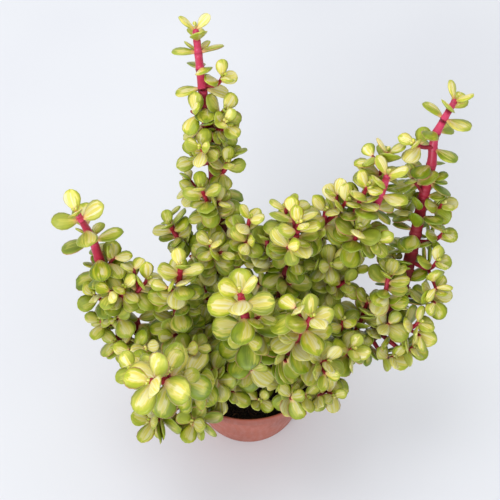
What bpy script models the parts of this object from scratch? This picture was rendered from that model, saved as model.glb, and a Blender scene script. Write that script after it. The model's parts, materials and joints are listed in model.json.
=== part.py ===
"""Variegated dwarf jade (Portulacaria afra) in a round nursery pot, life size, metres, +Z up.

The origin is the centre of the pot's underside, where it rests. Leafy stems root in plain holes in the
soil and fan out above the rim. Every stem carries pairs of fleshy leaves, each pair square to the last,
and short side twigs that end in rosettes. Stems and twigs follow the routes below. Leaves and the
unlisted twigs grow by rule from a seeded draw, and one that would touch a neighbour is bent clear of it.
"""

import math
import random
from dataclasses import dataclass, field

import bmesh
import bpy
import numpy as np
from mathutils import Matrix, Vector
from mathutils.bvhtree import BVHTree

MM = 0.001

# Pot, in metres
POT_HEIGHT = 80 * MM
RIM_RADIUS = 52.5 * MM
FOOT_RADIUS = 36 * MM
WALL = 1.4 * MM
COLLAR_HEIGHT = 9 * MM
COLLAR_STEP = 1.5 * MM
FLOOR_THICKNESS = 2 * MM
POT_SIDES = 32
DRAIN_COUNT = 6
DRAIN_RADIUS = 4 * MM
DRAIN_RING = 20 * MM
DRAIN_SIDES = 8
DRAIN_CUT = (-2 * MM, 5 * MM)
COLLAR_SLOPE = 0.8 * MM
FOOT_BEVEL = 0.4 * MM

# Soil: its heave is a broad wave and a wave across it, each with its turn in radians per metre along X and Y
SOIL_TOP = 70 * MM
SOIL_GAP = 0.3 * MM
SOIL_SIDES = 24
SOIL_RINGS = 4
SOIL_RELIEF = 0.9 * MM
BROAD_WAVE = (210, 180)
CROSS_WAVE = (90, -330)
WAVE_STARTS = (1.1, 2)
CROSS_SHARE = 0.6
FLAT_EDGE = 0.95
ROOT_DEPTH = 26 * MM
HOLE_SIDES = 8
HOLE_HEADROOM = 5 * MM

# Leaves: shares of the leaf's length, width and thickness at the rings between root and tip
BLADE = ((0.15, 0.40, 0.8), (0.54, 1.0, 1.0), (0.86, 0.76, 0.75))
SMALL_BLADE = ((0.34, 0.78, 0.9), (0.78, 0.96, 0.9))
SMALL_LEAF = 12.4 * MM
WIDTH_OF_LEAF = 0.80
THICKNESS = 2.1 * MM
YOUNG_THICKNESS = 0.6
FULL_THICKNESS_LEAF = 35 * MM
KEEL_SHARE = 0.75
ROOT_DROP = 0.3
TIP_DROP = 0.2
SUNK_SHARE = 0.85
LEAST_LEAF = 4.5 * MM
CLEARANCE = 0.35 * MM
SPOT_STEP = 1.5 * MM

# Growth: shares of the full leaf and angles off the stem, for each pair from the tip down
SEED = 7
MAIN_SHARES = (0.74, 0.9, 1.0)
MAIN_SPREADS = (42, 60, 73, 80, 86, 92, 97)
MAIN_GAPS = (5 * MM, 7 * MM, 9 * MM)
TWIG_SHARES = (0.7, 1.0)
TWIG_SPREADS = (46, 70, 82)
TWIG_GAPS = (4.5 * MM, 7 * MM)
MAIN_HABIT = (MAIN_SHARES, MAIN_SPREADS, MAIN_GAPS)
TWIG_HABIT = (TWIG_SHARES, TWIG_SPREADS, TWIG_GAPS)
FULL_PITCH = 11
FIRST_PAIR = 1.2 * MM
TWIG_LEAF_SHARE = 0.9
TWIG_RADIUS = 1.1 * MM
TWIG_TIP_SHARE = 0.8
TWIG_LEAN = 55
TWIG_BARE = 3
SHORTEST_TWIG = 6 * MM
TWIG_GROWTH = 0.15
TWIG_SPAN = (0.65, 1.0)
FIRST_TWIG = 16 * MM
AXIL = 2.2 * MM
OLD_WOOD = 62 * MM
DROOP = 0.22
DROOP_REACH = 50 * MM
LIGHT = Vector((0, -0.25, 0.97))
FACES_LIGHT = 0.45
TWIG_RISE = 0.4
STEM_TAPER = 0.7
PATH_STEP = 16 * MM
THIN_BRANCH = 2.2 * MM
UPRIGHT = 0.05

# Spans of the draws: angles in degrees, the others as shares of the leaf's length
LEAF_WOBBLE = 7
LEAF_TWIST = 16
TWIG_WOBBLE = 10
SIZE_SPAN = (0.92, 1.06)
ARCH_SPAN = (0.02, 0.16)

# What a leaf tries in turn until it fits: its lift and turn in degrees and its share of the full length
BENDS = (
    (0, 0, 1), (14, 0, 1), (-14, 0, 1), (0, 16, 1), (0, -16, 1), (-26, 0, 0.95), (22, 12, 0.95),
    (22, -12, 0.95), (-20, 26, 0.9), (-20, -26, 0.9), (-34, 0, 0.8), (0, 0, 0.72), (-24, 20, 0.65),
)

# Finish: colours as linear red, green, blue and alpha, and the angle past which a fold stays sharp
SHARP_FOLD = math.radians(40)
CLAY = (0.50, 0.17, 0.12, 1)
PEAT = (0.022, 0.016, 0.012, 1)
JADE = (0.36, 0.46, 0.10, 1)


@dataclass
class Shoot:
    """A stem or branch: where it runs, its thickness and its leaf, in millimetres, and how it is clothed.

    bare is its leafless length at the base, pitch the way between pairs, roll the turn of the first pair and
    twigs the chance of a side twig in each axil. old_leaves is the chance of a leaf on wood past OLD_WOOD.
    """

    route: tuple
    base_radius: float
    tip_radius: float
    leaf: float = 14
    bare: float = 8
    pitch: float = 11
    roll: float = 0
    pairs: int = 4
    twigs: float = 0.0
    longest_twig: float = 20
    old_leaves: float = 0.35


# One entry for each rooted plant: its main stem first, then its branches
PLANTS = {
    "stem_tall": (
        Shoot(
            ((-8, 8, 73), (-11, 24, 100), (-16, 44, 135), (-20, 65, 172), (-25, 86, 211), (-29, 108, 248)),
            4.0, 1.8, leaf=13.5, bare=24, roll=0, pairs=99, twigs=0.12, old_leaves=0.65,
        ),
        Shoot(((-13, 33, 115), (-30, 40, 123), (-42, 43, 136), (-48, 45, 150)), 1.7, 1.2, leaf=13.5, roll=20),
        Shoot(((-12, 27, 106), (-19, 23, 130), (-22, 24, 160)), 1.6, 1.1, leaf=14, roll=45, pairs=5),
        Shoot(((-16, 46, 138), (-21, 44, 162), (-27, 47, 184)), 1.5, 1.1, leaf=14, roll=10, pairs=4),
        Shoot(((-11, 25, 102), (-5, 28, 140), (1, 31, 176)), 1.7, 1.1, leaf=13, roll=30, pairs=4),
        Shoot(((-19, 60, 164), (-28, 57, 163), (-32, 54, 173)), 1.4, 1.0, leaf=13, bare=6, roll=20, pairs=3),
        Shoot(((-21, 70, 181), (-29, 67, 181), (-32, 66, 190)), 1.4, 1.0, leaf=13, bare=6, roll=0, pairs=2),
        Shoot(((-20, 65, 172), (-14, 61, 182), (-12, 60, 191)), 1.4, 1.0, leaf=13, bare=6, roll=30, pairs=2),
        Shoot(((-22, 74, 189), (-25, 65, 195), (-27, 61, 203)), 1.4, 1.0, leaf=13, bare=6, roll=10, pairs=3),
        Shoot(((-23, 79, 198), (-15, 75, 202), (-13, 72, 212)), 1.4, 1.0, leaf=13, bare=6, roll=0, pairs=2),
        Shoot(((-26, 92, 221), (-18, 91, 222), (-14, 89, 231)), 1.3, 0.9, leaf=12, bare=5, roll=40, pairs=2),
    ),
    "stem_left": (
        Shoot(
            ((-14, -3, 73), (-29, -6, 82), (-48, -6, 92), (-68, -3, 104), (-81, 6, 122), (-86, 15, 145),
             (-90, 23, 168), (-95, 25, 190)),
            3.8, 1.8, leaf=16.5, bare=14, pitch=12.5, roll=35, pairs=99, twigs=0.2, old_leaves=0.45,
        ),
        Shoot(
            ((-24, -5, 79), (-36, -13, 97), (-42, -10, 120), (-41, -3, 145), (-38, 4, 167)),
            2.6, 1.5, leaf=15, roll=50, pairs=9, twigs=0.2,
        ),
        Shoot(((-56, -5, 97), (-62, -16, 106), (-61, -22, 118)), 1.5, 1.1, leaf=14, roll=30, pairs=3),
        Shoot(((-58, -5, 98), (-71, -14, 101), (-80, -15, 112)), 1.5, 1.1, leaf=13.5, roll=20, pairs=3),
        Shoot(((-78, 3, 116), (-86, -4, 113), (-89, -6, 123)), 1.4, 1.0, leaf=13.5, bare=6, roll=30, pairs=2),
        Shoot(((-82, 8, 126), (-88, 5, 128), (-91, 3, 138)), 1.4, 1.0, leaf=14, bare=6, roll=0, pairs=3),
        Shoot(((-83, 9, 128), (-75, 2, 136), (-72, 1, 149)), 1.4, 1.0, leaf=13.5, bare=6, roll=0, pairs=3),
        Shoot(((-81, 6, 122), (-68, 2, 138), (-58, 5, 152)), 1.4, 1.0, leaf=13.5, roll=40, pairs=3),
        Shoot(((-38, -12, 103), (-37, -24, 112), (-36, -29, 127)), 1.4, 1.0, leaf=13, roll=15, pairs=3),
    ),
    "stem_right": (
        Shoot(
            ((16, -4, 73), (38, -9, 83), (60, -9, 92), (78, -4, 102), (91, 9, 118), (99, 30, 141),
             (104, 51, 166), (107, 63, 188), (106, 67, 204), (114, 74, 228)),
            4.4, 1.6, leaf=14, bare=22, roll=10, pairs=99, twigs=0.12, old_leaves=0.7,
        ),
        Shoot(((50, -9, 88), (57, -19, 103), (62, -24, 121)), 1.6, 1.1, leaf=14, roll=40),
        Shoot(((54, -9, 90), (56, -7, 107), (57, -7, 125)), 1.6, 1.1, leaf=13.5, roll=10),
        Shoot(((64, -9, 94), (68, -3, 111), (72, 4, 128)), 1.6, 1.1, leaf=14, roll=30),
        Shoot(((88, 6, 114), (82, 4, 132), (82, 9, 150)), 1.6, 1.1, leaf=14, roll=0),
        Shoot(((76, -5, 101), (86, -15, 90), (90, -18, 98)), 1.4, 1.0, leaf=13.5, bare=6, roll=20, pairs=2),
        Shoot(((80, -2, 103), (96, -13, 97), (101, -16, 107)), 1.5, 1.1, leaf=14, roll=20, pairs=3),
        Shoot(((84, 0, 108), (97, -6, 112), (103, -7, 122)), 1.5, 1.1, leaf=14, bare=6, roll=35, pairs=3),
        Shoot(((93, 13, 122), (110, 13, 118), (115, 12, 129)), 1.4, 1.0, leaf=13.5, roll=0, pairs=3),
        Shoot(((98, 27, 138), (110, 23, 135), (113, 22, 145)), 1.4, 1.0, leaf=13.5, bare=6, roll=30, pairs=2),
        Shoot(((100, 35, 147), (113, 38, 143), (117, 37, 153)), 1.4, 1.0, leaf=13.5, roll=10, pairs=3),
        Shoot(((104, 51, 166), (113, 49, 160), (115, 47, 169)), 1.4, 1.0, leaf=13, bare=6, roll=40, pairs=2),
        Shoot(((102, 43, 157), (95, 52, 150), (94, 56, 159)), 1.4, 1.0, leaf=13.5, bare=6, roll=0, pairs=2),
        Shoot(((95, 19, 129), (90, 30, 123), (90, 32, 134)), 1.4, 1.0, leaf=13.5, bare=6, roll=0, pairs=2),
        Shoot(((38, -9, 83), (48, -34, 86), (51, -43, 97)), 1.5, 1.0, leaf=12.5, roll=0, pairs=3),
    ),
    "stem_back": (
        Shoot(
            ((9, 9, 73), (19, 17, 95), (33, 25, 120), (46, 29, 139), (59, 29, 158), (68, 31, 176),
             (74, 36, 190), (77, 41, 203)),
            4.0, 1.8, leaf=15.5, bare=22, roll=25, pairs=99, twigs=0.2,
        ),
        Shoot(
            ((11, 11, 78), (17, 11, 112), (23, 13, 150), (28, 17, 190)),
            2.9, 1.4, leaf=14, bare=30, roll=0, pairs=7, twigs=0.12,
        ),
        Shoot(((66, 31, 172), (75, 50, 187), (79, 59, 201)), 1.8, 1.3, leaf=14.5, roll=20, pairs=4),
        Shoot(((57, 29, 155), (61, 22, 166), (62, 21, 179)), 1.5, 1.1, leaf=15.5, bare=5, roll=40, pairs=3),
        Shoot(((59, 29, 158), (61, 33, 180), (66, 36, 199)), 1.5, 1.1, leaf=14.5, roll=10, pairs=3),
        Shoot(((38, 27, 127), (43, 32, 156), (44, 32, 182)), 2.0, 1.3, leaf=14, roll=10, pairs=4),
        Shoot(((44, 32, 170), (51, 32, 181), (55, 32, 191)), 1.4, 1.0, leaf=13.5, roll=30, pairs=3),
        Shoot(((17, 11, 112), (12, 17, 140), (11, 24, 167)), 1.7, 1.1, leaf=14, roll=35, pairs=4),
        Shoot(((23, 13, 150), (24, 22, 170), (21, 31, 186)), 1.4, 1.0, leaf=13, roll=0, pairs=3),
        Shoot(((33, 25, 120), (50, 15, 127), (58, 9, 141)), 1.5, 1.1, leaf=14, roll=20, pairs=4),
        Shoot(((46, 29, 139), (47, 20, 143), (48, 13, 155)), 1.4, 1.0, leaf=13.5, bare=6, roll=0, pairs=3),
    ),
    "stem_front": (
        Shoot(
            ((-2, -12, 73), (-1, -22, 106), (0, -28, 146), (-4, -26, 189)),
            3.3, 1.7, leaf=17, bare=30, roll=10, pairs=8, twigs=0.15,
        ),
        Shoot(
            ((-2, -15, 80), (12, -24, 104), (25, -29, 137), (34, -31, 171)),
            2.8, 1.6, leaf=16.5, bare=24, roll=45, pairs=7, twigs=0.15,
        ),
        Shoot(((-2, -19, 94), (-15, -30, 103), (-22, -37, 118)), 1.5, 1.1, leaf=14, roll=20, pairs=4),
        Shoot(((-2, -16, 84), (-14, -36, 85), (-19, -44, 95)), 1.5, 1.1, leaf=13, roll=40, pairs=3),
        Shoot(((5, -20, 92), (25, -37, 88), (35, -44, 98)), 1.5, 1.1, leaf=14, roll=20, pairs=4),
        Shoot(((20, -27, 124), (38, -34, 122), (45, -39, 135)), 1.5, 1.1, leaf=14, roll=0, pairs=3),
    ),
    "stem_low": (
        Shoot(
            ((-13, -18, 73), (-22, -30, 95), (-36, -48, 130), (-51, -64, 162)),
            3.1, 1.7, leaf=18.5, bare=26, roll=15, pairs=99, twigs=0.2,
        ),
        Shoot(
            ((-22, -30, 95), (-40, -46, 91), (-54, -56, 89), (-58, -60, 99)),
            1.6, 1.1, leaf=15, bare=12, roll=30, pairs=4,
        ),
        Shoot(
            ((-15, -21, 79), (-26, -45, 88), (-32, -56, 87), (-33, -60, 97)),
            1.6, 1.1, leaf=15, bare=12, roll=0, pairs=3,
        ),
        Shoot(((-36, -48, 130), (-56, -47, 136), (-63, -50, 149)), 1.6, 1.1, leaf=14, roll=10, pairs=3),
    ),
    "sprig": (
        Shoot(((4, -34, 73), (6, -38, 78), (7, -41, 85)), 1.4, 1.0, leaf=11, bare=5, roll=30, pairs=2),
    ),
}


@dataclass
class Axis:
    """The centre line of a stem or twig, as points with a radius at each."""

    points: list
    radii: list
    plant: str
    shoot: Shoot
    parent: object = None
    lengths: list = field(default_factory=list)

    def __post_init__(self):
        """Works out the length to each point, and the side that leaf angles are counted from."""
        self.lengths = [0.0]
        for first, second in zip(self.points, self.points[1:]):
            self.lengths.append(self.lengths[-1] + (second - first).length)
        span = self.points[-1] - self.points[0]
        side = span.cross(Vector((0, 0, 1)))
        self.side = (side if side.length > UPRIGHT * span.length else Vector((1, 0, 0))).normalized()

    @property
    def length(self):
        """The length from the base to the tip."""
        return self.lengths[-1]

    def at(self, distance):
        """The point, direction and radius at a distance from the base."""
        last = len(self.points) - 2
        index = max(0, min(last, sum(1 for done in self.lengths[1:] if done < distance)))
        first, second = self.points[index], self.points[index + 1]
        share = (distance - self.lengths[index]) / (self.lengths[index + 1] - self.lengths[index])
        radius = self.radii[index] * (1 - share) + self.radii[index + 1] * share
        return first.lerp(second, share), (second - first).normalized(), radius

    def spots(self, step):
        """Points along the axis about a step apart, and the radius at each."""
        count = max(2, math.ceil(self.length / step))
        places = [self.at(self.length * index / count) for index in range(count + 1)]
        return np.array([place[0] for place in places]), np.array([place[2] for place in places])

    def outward(self, direction, angle):
        """A unit vector square to the direction, turned about it by an angle in degrees."""
        first = (self.side - direction * self.side.dot(direction)).normalized()
        second = direction.cross(first)
        turn = math.radians(angle)
        return first * math.cos(turn) + second * math.sin(turn)


@dataclass
class Leaf:
    """One blade: a frame at its root, and its sizes."""

    root: Vector
    along: Vector
    face: Vector
    length: float
    sunk: float
    arch: float
    plant: str

    def matrix(self):
        """Turns local X to the blade's width, Y to its upper face and Z to its tip."""
        width = self.face.cross(self.along)
        turn = Matrix((width, self.face, self.along)).transposed().to_4x4()
        return Matrix.Translation(self.root) @ turn

    def to_bmesh(self, grow=0.0):
        """The blade as a closed bmesh, drawn out of a three-sided sphere, flat above and keeled below."""
        rings = BLADE if self.length > SMALL_LEAF else SMALL_BLADE
        steps = len(rings) + 1
        shape = bmesh.new()
        bmesh.ops.create_uvsphere(shape, u_segments=3, v_segments=steps, radius=1)
        half_width = self.length * WIDTH_OF_LEAF / 2
        thickness = THICKNESS * min(1.0, YOUNG_THICKNESS + self.length / FULL_THICKNESS_LEAF)
        for vertex in shape.verts:
            ring = round(math.acos(max(-1.0, min(1.0, -vertex.co.z))) / math.pi * steps)
            if ring == 0:
                vertex.co = (0, -ROOT_DROP * thickness, -self.sunk)
                continue
            if ring == steps:
                vertex.co = (0, -self.arch * self.length - TIP_DROP * thickness, self.length)
                continue
            station, width_share, thickness_share = rings[ring - 1]
            sag = self.arch * self.length * station**2
            depth = thickness * thickness_share
            if vertex.co.y > 0:
                vertex.co = (0, -KEEL_SHARE * depth - grow - sag, self.length * station)
            else:
                side = -1 if vertex.co.x > 0 else 1
                edge = half_width * width_share + grow
                vertex.co = (side * edge, (1 - KEEL_SHARE) * depth + grow - sag, self.length * station)
        shape.transform(self.matrix())
        return shape


class Thicket:
    """Everything grown so far, and whether something new would touch it."""

    def __init__(self):
        """Starts with nothing grown."""
        self.axes = []
        self.spots = np.zeros((0, 3))
        self.reaches = np.zeros(0)
        self.owners = np.zeros(0, int)
        self.leaves = []
        self.trees = []
        self.lows = np.zeros((0, 3))
        self.highs = np.zeros((0, 3))

    def add_axis(self, axis):
        """Keeps an axis, with spots close together along it and how far its surface lies from each."""
        spots, radii = axis.spots(SPOT_STEP)
        self.spots = np.vstack((self.spots, spots))
        self.reaches = np.append(self.reaches, radii)
        self.owners = np.append(self.owners, np.full(len(spots), len(self.axes)))
        self.axes.append(axis)

    def add_leaf(self, leaf):
        """Keeps a leaf, with its tree of faces and its box."""
        shape = leaf.to_bmesh()
        points = np.array([vertex.co for vertex in shape.verts])
        self.leaves.append(leaf)
        self.trees.append(BVHTree.FromBMesh(shape))
        self.lows = np.vstack((self.lows, points.min(0)))
        self.highs = np.vstack((self.highs, points.max(0)))
        shape.free()

    def number(self, axis):
        """The place of an axis in the list, or -1 for one that isn't in it."""
        return next((index for index, one in enumerate(self.axes) if one is axis), -1)

    def near_axes(self, tree, low, high, parent):
        """True if an axis other than the parent comes within the clearance of a leaf's surface."""
        reach = (self.reaches + CLEARANCE)[:, None]
        inside = ((self.spots + reach > low) & (self.spots - reach < high)).all(1)
        for index in np.nonzero(inside & (self.owners != self.number(parent)))[0]:
            if tree.find_nearest(self.spots[index], self.reaches[index] + CLEARANCE)[0]:
                return True
        return False

    def near_pot(self, points, margin):
        """True if a point lies within the margin of the pot's wall, the soil or the floor."""
        out = np.hypot(points[:, 0], points[:, 1])
        height = points[:, 2]
        inside = out < RIM_RADIUS - 2 * WALL - margin
        in_soil = inside & (height < SOIL_TOP + SOIL_RELIEF + margin)
        wall_radius = FOOT_RADIUS + (RIM_RADIUS - FOOT_RADIUS) * np.clip(height / POT_HEIGHT, 0, 1)
        in_wall = ~inside & (out < wall_radius + 2 * margin) & (height < POT_HEIGHT + margin)
        return bool((in_soil | in_wall | (height < 2 * margin)).any())

    def takes_leaf(self, leaf, parent):
        """True if the leaf keeps its clearance to the pot, the stems and every other leaf."""
        shape = leaf.to_bmesh(grow=CLEARANCE)
        points = np.array([vertex.co for vertex in shape.verts])
        tree = BVHTree.FromBMesh(shape)
        shape.free()
        low, high = points.min(0), points.max(0)
        if self.near_pot(points, 2 * CLEARANCE) or self.near_axes(tree, low, high, parent):
            return False
        close = np.nonzero(((self.lows < high) & (self.highs > low)).all(1))[0]
        return not any(tree.overlap(self.trees[index]) for index in close)

    def takes_axis(self, axis):
        """True if a twig is clear of the pot, the other stems and every leaf."""
        spots, radii = axis.spots(SPOT_STEP)
        reach = radii.max() + CLEARANCE
        if self.near_pot(spots, reach):
            return False
        others = self.owners != self.number(axis.parent)
        gaps = np.linalg.norm(spots[:, None] - self.spots[others][None], axis=2) - self.reaches[others]
        if gaps.size and gaps.min() < reach + CLEARANCE:
            return False
        low, high = spots.min(0) - reach, spots.max(0) + reach
        close = np.nonzero(((self.lows < high) & (self.highs > low)).all(1))[0]
        return not any(self.trees[index].find_nearest(spot, reach)[0] for index in close for spot in spots)


def smooth_line(points, step):
    """Points about a step apart on a Catmull-Rom curve through the given ones."""
    ends = [points[0] * 2 - points[1], *points, points[-1] * 2 - points[-2]]
    line = [points[0]]
    for before, first, second, after in zip(ends, ends[1:], ends[2:], ends[3:]):
        count = max(1, round((second - first).length / step))
        for index in range(1, count + 1):
            t = index / count
            linear = first * 2 + (second - before) * t
            square = (before * 2 - first * 5 + second * 4 - after) * t**2
            cube = (first * 3 - before - second * 3 + after) * t**3
            line.append(0.5 * (linear + square + cube))
    return line


def axis_of(shoot, plant, rooted, parent=None):
    """The centre line of a listed shoot, from its root in the soil or its parent's centre."""
    route = [Vector(point) * MM for point in shoot.route]
    line = smooth_line(route, PATH_STEP)
    count = len(line) - 1
    spread = shoot.base_radius - shoot.tip_radius
    shares = [(1 - index / count) ** STEM_TAPER for index in range(count + 1)]
    radii = [(shoot.tip_radius + spread * share) * MM for share in shares]
    if rooted:
        bottom = line[0].copy()
        bottom.z = SOIL_TOP - ROOT_DEPTH
        line.insert(0, bottom)
        radii.insert(0, radii[0])
    return Axis(line, radii, plant, shoot, parent)


def node_distances(axis, gaps):
    """Where the pairs of leaves stand, as distances from the base, from the tip downwards."""
    bare = axis.shoot.bare * MM
    if axis.parent is None:
        bare += ROOT_DEPTH
    stretch = axis.shoot.pitch / FULL_PITCH
    distance = axis.length - FIRST_PAIR
    for count in range(axis.shoot.pairs):
        if distance < bare:
            return
        yield distance
        distance -= gaps[count] * stretch if count < len(gaps) else axis.shoot.pitch * MM


def leaf_at(axis, distance, angle, spread, length, draw):
    """A leaf that leaves the axis at the given turn and spread, in degrees."""
    point, direction, radius = axis.at(distance)
    outward = axis.outward(direction, angle)
    lean = math.radians(spread)
    along = direction * math.cos(lean) + outward * math.sin(lean)
    along.z -= DROOP * min(1.0, (axis.length - distance) / DROOP_REACH)
    along.normalize()
    up = direction + LIGHT * FACES_LIGHT
    face = (up - along * up.dot(along)).normalized()
    face.rotate(Matrix.Rotation(math.radians(draw.uniform(-LEAF_TWIST, LEAF_TWIST)), 3, along))
    return Leaf(
        root=point + along * radius,
        along=along,
        face=face,
        length=length,
        sunk=radius * SUNK_SHARE,
        arch=draw.uniform(*ARCH_SPAN),
        plant=axis.plant,
    )


def grow_leaf(thicket, axis, distance, angle, spread, length, draw):
    """Tries the leaf where it belongs, then bent aside, then smaller, and leaves it out if nothing fits."""
    wobble = draw.uniform(-LEAF_WOBBLE, LEAF_WOBBLE)
    size = draw.uniform(*SIZE_SPAN)
    for lift, turn, share in BENDS:
        own = random.Random(draw.random())
        leaf = leaf_at(axis, distance, angle + wobble + turn, spread + lift, length * size * share, own)
        if leaf.length > LEAST_LEAF and thicket.takes_leaf(leaf, axis):
            thicket.add_leaf(leaf)
            return True
    return False


def clothe(thicket, axis, leaf_length, habit, draw):
    """Sets pairs of leaves down an axis from its tip, each pair square to the last.

    It gives each pair's distance from the base and its turn about the axis.
    """
    shares, spreads, gaps = habit
    nodes = []
    for index, distance in enumerate(node_distances(axis, gaps)):
        share = shares[index] if index < len(shares) else 1.0
        spread = spreads[min(index, len(spreads) - 1)]
        angle = axis.shoot.roll + 90 * index
        nodes.append((distance, angle))
        for side in (0, 180):
            if axis.length - distance < OLD_WOOD or draw.random() < axis.shoot.old_leaves:
                grow_leaf(thicket, axis, distance, angle + side, spread, leaf_length * share, draw)
    return nodes


def twig_from(axis, distance, angle, length, draw):
    """A short side twig out of a leaf's axil, which leans up towards the light."""
    point, direction, radius = axis.at(distance + AXIL)
    outward = axis.outward(direction, angle + draw.uniform(-TWIG_WOBBLE, TWIG_WOBBLE))
    lean = math.radians(TWIG_LEAN)
    along = (direction * math.cos(lean) + outward * math.sin(lean) + LIGHT * TWIG_RISE).normalized()
    shoot = Shoot(
        route=(), base_radius=0, tip_radius=0, bare=radius / MM + TWIG_BARE, roll=draw.uniform(0, 90), pairs=2
    )
    ends = [point, point + along * (radius + length)]
    return Axis(ends, [TWIG_RADIUS, TWIG_RADIUS * TWIG_TIP_SHARE], axis.plant, shoot, axis)


def grow_all():
    """The whole plant: listed shoots, their leaves, then side twigs with leaves of their own."""
    thicket = Thicket()
    draws = {}
    listed = []
    for plant, shoots in PLANTS.items():
        draws[plant] = random.Random(f"{SEED} {plant}")
        main = axis_of(shoots[0], plant, rooted=True)
        listed.append(main)
        listed += [axis_of(shoot, plant, rooted=False, parent=main) for shoot in shoots[1:]]
    for axis in listed:
        thicket.add_axis(axis)
    nodes = {}
    for axis in listed:
        nodes[id(axis)] = clothe(thicket, axis, axis.shoot.leaf * MM, MAIN_HABIT, draws[axis.plant])
    for axis in listed:
        for distance, angle in nodes[id(axis)]:
            if axis.length - distance > FIRST_TWIG:
                for side in (0, 180):
                    grow_twig(thicket, axis, distance, angle + side, draws[axis.plant])
    return thicket


def grow_twig(thicket, axis, distance, angle, draw):
    """A leafy twig in a leaf's axil, if the draw gives one and it has room for two leaves or more."""
    longest = min(axis.shoot.longest_twig * MM, SHORTEST_TWIG + TWIG_GROWTH * (axis.length - distance))
    length = longest * draw.uniform(*TWIG_SPAN)
    if draw.random() > axis.shoot.twigs:
        return
    twig = twig_from(axis, distance, angle, length, draw)
    if not thicket.takes_axis(twig):
        return
    before = len(thicket.leaves)
    clothe(thicket, twig, axis.shoot.leaf * MM * TWIG_LEAF_SHARE, TWIG_HABIT, draw)
    if len(thicket.leaves) - before >= 2:
        thicket.add_axis(twig)
    else:
        drop_leaves(thicket, before)


def drop_leaves(thicket, kept):
    """Takes back the leaves that were added after the first ones kept."""
    del thicket.leaves[kept:]
    del thicket.trees[kept:]
    thicket.lows = thicket.lows[:kept]
    thicket.highs = thicket.highs[:kept]


def clear_scene():
    """Removes whatever objects the file holds."""
    for thing in list(bpy.data.objects):
        bpy.data.objects.remove(thing)


def material(name, colour, roughness):
    """A plain Principled finish."""
    made = bpy.data.materials.new(name)
    made.use_nodes = True
    surface = made.node_tree.nodes["Principled BSDF"]
    surface.inputs["Base Color"].default_value = colour
    surface.inputs["Roughness"].default_value = roughness
    surface.inputs["Metallic"].default_value = 0
    return made


def link_mesh(name, mesh, collection):
    """A new object of a mesh, in the given collection."""
    thing = bpy.data.objects.new(name, mesh)
    collection.objects.link(thing)
    return thing


def turned_mesh(name, profile, sides):
    """A mesh of a profile of (radius, height) pairs turned about Z by a Screw modifier."""
    outline = bmesh.new()
    corners = [outline.verts.new((radius, 0, height)) for radius, height in profile]
    for first, second in zip(corners, corners[1:]):
        outline.edges.new((first, second))
    mesh = bpy.data.meshes.new(name)
    outline.to_mesh(mesh)
    outline.free()
    thing = link_mesh(name, mesh, bpy.context.scene.collection)
    screw = thing.modifiers.new("turn", "SCREW")
    screw.steps = sides
    screw.render_steps = sides
    screw.use_merge_vertices = True
    screw.merge_threshold = 0.00001
    screw.use_smooth_shade = False
    return thing


def apply_modifiers(thing):
    """Replaces the object's mesh by its evaluated one and removes its modifiers."""
    bpy.context.view_layer.update()
    graph = bpy.context.evaluated_depsgraph_get()
    mesh = bpy.data.meshes.new_from_object(thing.evaluated_get(graph))
    thing.modifiers.clear()
    thing.data = mesh


def pot_radius(height):
    """The outer radius of the pot's tapered body at a height, below its collar."""
    top = RIM_RADIUS - COLLAR_STEP
    return FOOT_RADIUS + (top - FOOT_RADIUS) * height / POT_HEIGHT


def pot_profile():
    """The pot's outline: outer side top to bottom, underside to the axis, floor, inner side up to the rim."""
    under_collar = POT_HEIGHT - COLLAR_HEIGHT
    return (
        (RIM_RADIUS - 0.5 * WALL, POT_HEIGHT),
        (RIM_RADIUS, POT_HEIGHT - 0.5 * WALL),
        (RIM_RADIUS - 0.4 * COLLAR_STEP, under_collar),
        (pot_radius(under_collar), under_collar - COLLAR_SLOPE),
        (FOOT_RADIUS + FOOT_BEVEL, 1 * MM),
        (FOOT_RADIUS - FOOT_BEVEL, 0),
        (0, 0),
        (0, FLOOR_THICKNESS),
        (pot_radius(FLOOR_THICKNESS) - WALL, FLOOR_THICKNESS),
        (pot_radius(under_collar) - WALL, under_collar - COLLAR_SLOPE),
        (RIM_RADIUS - 1.6 * WALL, under_collar + 1 * MM),
        (RIM_RADIUS - 1.2 * WALL, POT_HEIGHT - 0.3 * WALL),
        (RIM_RADIUS - 0.5 * WALL, POT_HEIGHT),
    )


def make_cutter(name, radius, low, high, spot, sides, cutters):
    """An upright cylinder that cuts a plain hole."""
    shape = bmesh.new()
    bmesh.ops.create_cone(
        shape, cap_ends=True, segments=sides, radius1=radius, radius2=radius, depth=high - low
    )
    mesh = bpy.data.meshes.new(name)
    shape.to_mesh(mesh)
    shape.free()
    cutter = link_mesh(name, mesh, cutters)
    cutter.location = (spot[0], spot[1], (low + high) / 2)
    cutter.hide_render = True
    cutter.display_type = "WIRE"
    return cutter


def cut_with(thing, cutters):
    """Cuts a collection of cutters out of an object, by a live modifier."""
    hole = thing.modifiers.new("holes", "BOOLEAN")
    hole.operation = "DIFFERENCE"
    hole.operand_type = "COLLECTION"
    hole.collection = cutters


def make_pot(parts):
    """A thin round pot with a collar, a flat floor and a ring of drain holes."""
    pot = turned_mesh("pot", pot_profile(), POT_SIDES)
    apply_modifiers(pot)
    cutters = bpy.data.collections.new("drain cutters")
    bpy.context.scene.collection.children.link(cutters)
    for index in range(DRAIN_COUNT):
        turn = 2 * math.pi * index / DRAIN_COUNT
        spot = (DRAIN_RING * math.cos(turn), DRAIN_RING * math.sin(turn))
        make_cutter(f"drain_{index}", DRAIN_RADIUS, *DRAIN_CUT, spot, DRAIN_SIDES, cutters)
    cut_with(pot, cutters)
    place(pot, parts, material("clay coloured plastic", CLAY, 0.45))


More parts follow.
